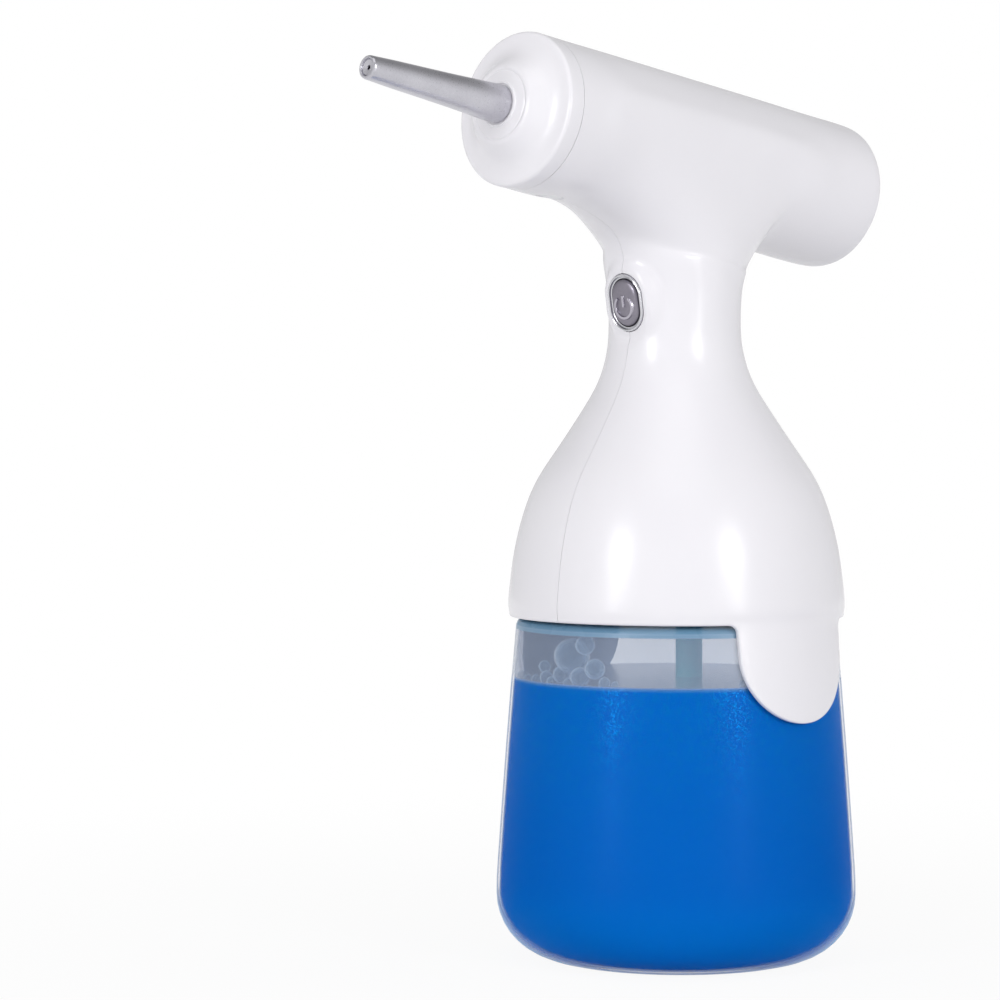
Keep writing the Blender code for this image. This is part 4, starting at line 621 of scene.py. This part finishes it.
def bottle_mesh():
    """The turned bottle with its thread beads."""
    bm = bmesh.new()
    bm.from_mesh(turned(BOTTLE_OUTLINE + BOTTLE_INSIDE, sides=BOTTLE_SIDES))
    for start in range(BEADS):
        angle = math.radians(BEAD_START + 360 / BEADS * start)
        place = (Matrix.Rotation(angle, 4, "Z") @ Matrix.Translation((MOUTH_RADIUS, 0, BEAD_HEIGHT))
                 @ Matrix.Rotation(math.pi / 2, 4, "X"))
        end = bmesh.ops.create_circle(bm, cap_ends=True, segments=BEAD_POINTS, radius=BEAD_RADIUS,
                                      matrix=place)["verts"]
        bmesh.ops.spin(bm, geom=end[0].link_faces[:], axis=(0, 0, 1), cent=(0, 0, 0), angle=BEAD_SWEEP,
                       steps=BEAD_STEPS, dvec=(0, 0, BEAD_LEAD * BEAD_SWEEP / math.tau / BEAD_STEPS),
                       use_duplicate=False)
    bmesh.ops.recalc_face_normals(bm, faces=bm.faces)
    return as_mesh(bm, "bottle")


def frosted_plastic():
    """Frosted clear plastic: nearly unseen where the soap wets it, milky above, with painted shade round the
    shoulder.
    """
    finish = Finish("frosted_bottle")
    height = finish.node("ShaderNodeSeparateXYZ", "Z", {"Vector": finish.place()})
    facing = finish.node("ShaderNodeLayerWeight", "Facing", {"Blend": 0.5})
    grain = finish.noise(1500, 3)
    cloud = finish.noise(50)
    dry = finish.rise(height, *DRY_BEGINS)
    shoulder_shade = finish.rise(height, *SHADE_LINE_ENDS)
    shade_line = finish.rise(height, *SHADE_LINE_BEGINS) - shoulder_shade
    rim = finish.rise(facing, 0.78, 0.98)
    foot = finish.rise(height, *FOOT_ENDS)
    # Near the foot the edge shows the soap's blue, painted brighter against the shade on the underside.
    rim_color = finish.between(foot, (0.0, 0.33, 0.75, 1), (0.27, 0.40, 0.58, 1))
    wet_color = finish.between(rim, (0.0, 0.15, 0.56, 1), rim_color)
    dry_color = finish.between(cloud, (0.42, 0.52, 0.71, 1), (0.47, 0.57, 0.76, 1))
    # Painted shade under the bell's rim: a darker line and shoulder band; the line's opacity lets real
    # highlights show.
    shade_lined = finish.between(shade_line, dry_color, (0.21, 0.36, 0.52, 1))
    dry_color = finish.between(shoulder_shade, shade_lined, (0.20, 0.40, 0.60, 1))
    color = finish.between(dry, wet_color, dry_color)
    wet_alpha = 0.08 + 0.90 * finish.rise(facing + 0.14 * (1 - foot), 0.82, 0.97)
    dry_alpha = 0.25 + 0.6 * shade_line + 0.40 * shoulder_shade + 0.2 * finish.rise(facing, 0.6, 0.95)
    alpha = wet_alpha + dry * (dry_alpha - wet_alpha)
    return finish.set(Base_Color=color, Alpha=alpha, Roughness=0.24 + 0.08 * cloud, Specular_IOR_Level=0.28,
                      Normal=finish.bump(grain, 0.7, 0.10 * MM))


bottle = new_piece("bottle_skin", bottle_mesh(), "bottle_body", "frosted_bottle", frosted_plastic(), "bottle")
rounded_look(bottle)


# The soap is a clear blue liquid that fills the bottle to a little below its shoulder. Its surface is a thin
# disc of its own, and a cluster of bubbles lies on it along the wall. Each bubble is given by its bearing in
# degrees and its height and radius in millimetres.
SOAP_OUTLINE = [(0.0, 1.42), (24.9, 0.72)] + foot_corner(13.83, range(81, -1, -9))
SOAP_OUTLINE += [(39.43, 22.0), (38.73, 32.1), (37.68, 46.5), (36.53, 60.9), (36.34, 63.1), (36.32, 63.25),
                 (0.0, 63.25)]
SURFACE_OUTLINE = [(0.0, 63.27), (36.31, 63.27), (36.31, 63.35), (0.0, 63.35)]
BUBBLES = ((-2.4, 69.2, 4.0), (4.7, 64.9, 2.2), (-4.5, 65.2, 2.0), (-13.1, 64.3, 1.5), (11.4, 66.8, 2.3),
           (-19.9, 63.7, 1.0), (-27.9, 63.6, 0.8), (6.5, 71.9, 2.2), (-14.5, 66.6, 1.4), (0.5, 63.6, 1.1),
           (-8.9, 63.5, 1.2), (16.5, 64.0, 1.3), (21.0, 63.7, 0.8), (-40.0, 63.7, 0.9), (68.0, 63.9, 0.9))
# A bubble's centre lies inside the bottle's outside by the gap and this share of the bubble's radius.
BUBBLE_GAP = 1.4
BUBBLE_SHARE = 0.8
# Heights over which the soap's look changes: up from the foot, which is painted lighter, up through the
# painted glints, and at its top.
SOAP_FOOT = (4 * MM, 22 * MM)
SPARKLE = (24 * MM, 66 * MM)
SOAP_TOP = (62.2 * MM, 62.9 * MM)


def blue_soap():
    """Deep clear blue, painted lighter at the foot; painted glints and metallic sparkle under the frosting
    fade downwards.
    """
    finish = Finish("blue_soap")
    height = finish.node("ShaderNodeSeparateXYZ", "Z", {"Vector": finish.place()})
    low = finish.rise(height, *SOAP_FOOT)
    cloud = finish.noise(35)
    deep = finish.between(cloud, (0.0, 0.122, 0.56, 1), (0.0, 0.134, 0.59, 1))
    # Towards the foot the blue is painted lighter, against the shade that falls there.
    color = finish.between(low, (0.0, 0.168, 0.63, 1), deep)
    top = finish.rise(height, *SOAP_TOP)
    upper = finish.rise(height, *SPARKLE)
    grain = finish.noise(2000, 2)
    # Painted glints: lighter flecks, strongest high up where the lamps reflect; they also drive a real
    # metallic sheen.
    glint_flecks = finish.rise(grain, 0.45, 0.65) * (0.15 + 0.85 * upper)
    color = finish.between(0.35 * glint_flecks, color, (0.0, 0.34, 0.66, 1))
    color = finish.between(top, color, (0.07, 0.25, 0.58, 1))
    return finish.set(Base_Color=color, Metallic=0.32 * glint_flecks, Roughness=0.22 + 0.04 * cloud,
                      Specular_IOR_Level=0.0, Normal=finish.bump(grain * (0.1 + 0.9 * upper), 0.2, 0.25 * MM))


def soap_surface():
    """A still liquid surface: blue from above, and like a pale mirror when seen from the side."""
    finish = Finish("soap_surface")
    facing = finish.node("ShaderNodeLayerWeight", "Facing", {"Blend": 0.5})
    along = finish.rise(facing, 0.72, 0.93)
    color = finish.between(along, (0.02, 0.20, 0.56, 1), (0.90, 0.92, 0.97, 1))
    return finish.set(Base_Color=color, Metallic=0.9 * along, Roughness=0.22 + 0.04 * finish.noise(200))


def bubble_film():
    """A thin film: clear in the middle and white towards its outline, a painted reflection."""
    finish = Finish("bubble_film")
    edge = finish.node("ShaderNodeLayerWeight", "Facing", {"Blend": 0.5})
    ring = edge ** 1.2
    # Painted reflection: the film turns white towards its outline.
    color = finish.between(ring, (0.16, 0.42, 0.68, 1), (0.95, 0.98, 1.0, 1))
    return finish.set(Base_Color=color, Alpha=0.12 + 0.88 * ring, Roughness=0.10 + 0.05 * finish.noise(300))


soap = new_piece("liquid_soap", turned(SOAP_OUTLINE, closed=False, sides=BOTTLE_SIDES), "bottle_body",
                 "frosted_bottle", blue_soap())
rounded_look(soap)
surface_disc = new_piece("soap_level", turned(SURFACE_OUTLINE, closed=False, sides=BOTTLE_SIDES),
                         "bottle_body", "frosted_bottle", soap_surface())
rounded_look(surface_disc)
bm = bmesh.new()
for bearing, height, radius in BUBBLES:
    out = cone_radius(height) - BUBBLE_GAP - BUBBLE_SHARE * radius
    angle = math.radians(bearing)
    place = Matrix.Translation(Vector((out * math.sin(angle), -out * math.cos(angle), height)) * MM)
    bmesh.ops.create_icosphere(bm, subdivisions=3, radius=radius * MM, matrix=place)
bubbles = new_piece("soap_bubbles", as_mesh(bm, "bubbles"), "bottle_body", "frosted_bottle", bubble_film())
rounded_look(bubbles)


# A teal plastic dip tube, pushed on the pump's inlet beside the middle of the bottle, hangs down to the
# strainer near the bottle's foot.
TUBE_OUTLINE = ((2.3, 91.9), (3.0, 91.9), (3.0, 7.1), (2.3, 7.1))
TUBE_PLACE = Matrix.Translation((4 * MM, 0, 0))


def teal_tube():
    """Smooth extruded plastic with a slight change of shade along it."""
    finish = Finish("teal_tube")
    color = finish.between(finish.noise(120), (0.02, 0.80, 0.82, 1), (0.05, 0.88, 0.90, 1))
    return finish.set(Base_Color=color, Roughness=0.3 + 0.1 * finish.noise(600))


tube = new_piece("tube_dip", turned(TUBE_OUTLINE, TUBE_PLACE, sides=SMALL_SIDES), "housing", "tube_plastic",
                 teal_tube(), "dip_tube")
rounded_look(tube)


# The pump and its neighbours are plain mouldings that the shells hide: natural polypropylene with a waxy
# skin, acetal gears, black nylon holders, a clear hose, insulated leads and lacquered boards. They keep the
# solids' own shapes and get only a finish.
def moulded(name, color, roughness, grain_depth):
    """Moulded or coated plastic: cloudy by a tenth, with a fine grain."""
    finish = Finish(name)
    cloud = finish.noise(90)
    grain = finish.noise(1800, 3)
    darker = tuple(channel * 0.9 for channel in color) + (1,)
    shade = finish.between(cloud, darker, color + (1,))
    return finish.set(Base_Color=shade, Roughness=roughness + 0.1 * grain,
                      Normal=finish.bump(grain, grain_depth, 0.06 * MM))


def dress(look, *nodes):
    """Give carried-over CAD nodes a finish."""
    for node in nodes:
        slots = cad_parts[node].data.materials
        slots.clear()
        slots.append(look)


dress(moulded("natural_polypropylene", (0.76, 0.77, 0.78), 0.42, 0.2), "thread_collar", "pump_housing",
      "pump_cover", "suction_filter", "foam_chamber")
dress(moulded("gear_acetal", (0.82, 0.82, 0.80), 0.32, 0.1), "drive_gear", "idler_gear")
dress(moulded("clear_hose", (0.74, 0.79, 0.81), 0.3, 0.1), "outlet_tube")
dress(moulded("black_nylon", (0.025, 0.025, 0.028), 0.45, 0.3), "tact_switch", "switch_plunger",
      "motor_end_cap", "battery_cradle", "ir_emitter", "ir_receiver", "motor_lead_black")
dress(moulded("red_insulation", (0.55, 0.03, 0.025), 0.45, 0.2), "motor_lead_red")
dress(moulded("battery_sleeve", (0.09, 0.22, 0.46), 0.35, 0.1), "battery")
dress(moulded("green_lacquer", (0.03, 0.18, 0.08), 0.35, 0.15), "main_board", "switch_board", "sensor_board")


# Seals are black moulded rubber, squeezed between the pump's and the bottle's parts. The plug over the
# charging port is soft white silicone on a strap.
dress(moulded("seal_rubber", (0.035, 0.035, 0.038), 0.65, 0.5), "bottle_gasket", "shaft_seal", "check_valve",
      "chamber_seal")
dress(moulded("white_silicone", (0.82, 0.82, 0.85), 0.5, 0.4), "port_plug")


# The motor's can and shaft, the idler's pin, the pump's screws, the foam screens and the charging socket
# are bright steel, drawn, turned or woven.
dress(satin_metal("bright_steel", (0.62, 0.62, 0.63, 1), (0.56, 0.56, 0.57, 1), 0.25, 0.1), "motor_can",
      "motor_shaft", "idler_pin", "pump_screw_1", "pump_screw_2", "pump_screw_3", "pump_screw_4",
      "foam_screen_1", "foam_screen_2", "usb_socket")


# The hand sensor looks down through a small lens of infrared-clear plastic, white like the housing, which
# clips into the underside of the head.
dress(moulded("sensor_lens", (0.78, 0.78, 0.82), 0.15, 0.02), "sensor_window")


# A pale floor that runs out into white, soft studio light from both sides of the camera, and the camera at
# the photograph's height and bearing. Lengths are in metres.
FLOOR_SIZE = 6.0
FLOOR_COLOR = (0.88, 0.88, 0.89, 1)
FLOOR_FADE = (0.06, 0.35)     # from the middle: where the floor's own shade starts and has ended
FLOOR_WHITE = 0.93            # share of plain white under the object
CAMERA_BEARING = math.radians(43.2)
CAMERA_DISTANCE = 0.778
CAMERA_HEIGHT = 0.1254
CAMERA_TURN = math.radians(2.919)
CAMERA_DIP = math.radians(1.667)
CAMERA_LENS = 124.45
CAMERA_SENSOR = 36.0
CAMERA_CLIP = 0.01
LAMP_AIM = Vector((0, 0, 0.10))
# Each lamp's bearing from the camera and height in degrees, distance, width and height, and power in watts.
LAMPS = (("lamp_left", -40, 17, 1.2, 0.27, 0.28, 2.85), ("lamp_right", 40, 17, 1.2, 0.27, 0.28, 2.85),
         ("strip_left", -43, 2, 1.2, 0.08, 0.20, 0.5), ("strip_right", 43, 2, 1.2, 0.08, 0.20, 0.5),
         ("lamp_top", 0, 64, 1.4, 0.9, 0.9, 2.5))
# The dome's strength at the horizon and overhead, and the share of it that is left behind the object.
HORIZON = 0.90
ZENITH = 0.38
BEHIND = 0.72
DOME_RISE = (0.1, 0.85)
BEHIND_RISE = (-0.75, 0.15)


def pale_floor():
    """White near the object with its shadow kept, and plain white further out."""
    look = bpy.data.materials.new("pale_floor")
    look.use_nodes = True
    tree = look.node_tree
    tree.nodes.clear()
    shade = Shade(tree)
    seen = shade.node("ShaderNodeLightPath", "Is Camera Ray")
    seen = seen + shade.node("ShaderNodeLightPath", "Is Glossy Ray")
    seen = seen + shade.node("ShaderNodeLightPath", "Is Transmission Ray")
    away = shade.node("ShaderNodeVectorMath", "Value", {0: shade.node("ShaderNodeTexCoord", "Object")},
                      operation="LENGTH")
    far = shade.node("ShaderNodeMapRange", 0, {0: away, 1: FLOOR_FADE[0], 2: FLOOR_FADE[1]},
                     interpolation_type="SMOOTHSTEP")
    lit = shade.node("ShaderNodeBsdfDiffuse", inputs={"Color": FLOOR_COLOR})
    plain = shade.node("ShaderNodeEmission", inputs={"Color": (1, 1, 1, 1), "Strength": 1.0})
    share = shade.maths("MINIMUM", seen, 1.0) * (FLOOR_WHITE + (1 - FLOOR_WHITE) * far)
    mixed = shade.node("ShaderNodeMixShader", inputs={0: share, 1: lit, 2: plain})
    output = tree.nodes.new("ShaderNodeOutputMaterial")
    tree.links.new(mixed.socket, output.inputs["Surface"])
    return look


bm = bmesh.new()
bmesh.ops.create_grid(bm, x_segments=1, y_segments=1, size=FLOOR_SIZE / 2)
floor = in_scene("floor", as_mesh(bm, "floor"))
floor.data.materials.append(pale_floor())

world = bpy.data.worlds.new("studio")
bpy.context.scene.world = world
world.use_nodes = True
world.node_tree.nodes.clear()
sky = Shade(world.node_tree)
seen = sky.node("ShaderNodeLightPath", "Is Camera Ray")
seen = seen + sky.node("ShaderNodeLightPath", "Is Transmission Ray")
upward = sky.node("ShaderNodeSeparateXYZ", "Z", {"Vector": sky.node("ShaderNodeTexCoord", "Generated")})
dome = sky.node("ShaderNodeMapRange", 0,
                {0: upward, 1: DOME_RISE[0], 2: DOME_RISE[1], 3: HORIZON, 4: ZENITH},
                interpolation_type="SMOOTHSTEP")
towards_camera = (math.sin(CAMERA_BEARING), -math.cos(CAMERA_BEARING), 0)
ahead = sky.node("ShaderNodeVectorMath", "Value", {0: sky.node("ShaderNodeTexCoord", "Generated"),
                                                   1: towards_camera}, operation="DOT_PRODUCT")
dome = dome * sky.node("ShaderNodeMapRange", 0,
                       {0: ahead, 1: BEHIND_RISE[0], 2: BEHIND_RISE[1], 3: BEHIND, 4: 1.0},
                       interpolation_type="SMOOTHSTEP")
strength = dome + (1 - dome) * sky.maths("MINIMUM", seen, 1.0)
white = sky.node("ShaderNodeBackground", inputs={"Color": (1, 1, 1, 1), "Strength": strength})
world_output = world.node_tree.nodes.new("ShaderNodeOutputWorld")
world.node_tree.links.new(white.socket, world_output.inputs["Surface"])

for lamp_name, bearing, height, distance, width, tall, power in LAMPS:
    lamp_data = bpy.data.lights.new(lamp_name, "AREA")
    lamp_data.shape = "RECTANGLE"
    lamp_data.size = width
    lamp_data.size_y = tall
    lamp_data.energy = power
    lamp = in_scene(lamp_name, lamp_data)
    around = CAMERA_BEARING + math.radians(bearing)
    up = math.radians(height)
    direction = Vector((math.sin(around) * math.cos(up), -math.cos(around) * math.cos(up), math.sin(up)))
    lamp.location = LAMP_AIM + distance * direction
    lamp.rotation_euler = (lamp.location - LAMP_AIM).to_track_quat("Z", "Y").to_euler()

camera_data = bpy.data.cameras.new("camera")
camera_data.lens = CAMERA_LENS
camera_data.sensor_width = CAMERA_SENSOR
camera_data.clip_start = CAMERA_CLIP
camera = in_scene("camera", camera_data)
camera.location = (CAMERA_DISTANCE * math.sin(CAMERA_BEARING), -CAMERA_DISTANCE * math.cos(CAMERA_BEARING),
                   CAMERA_HEIGHT)
camera.rotation_euler = (math.pi / 2 - CAMERA_DIP, 0, CAMERA_BEARING + CAMERA_TURN)
bpy.context.scene.camera = camera
bpy.context.scene.view_settings.view_transform = "Standard"
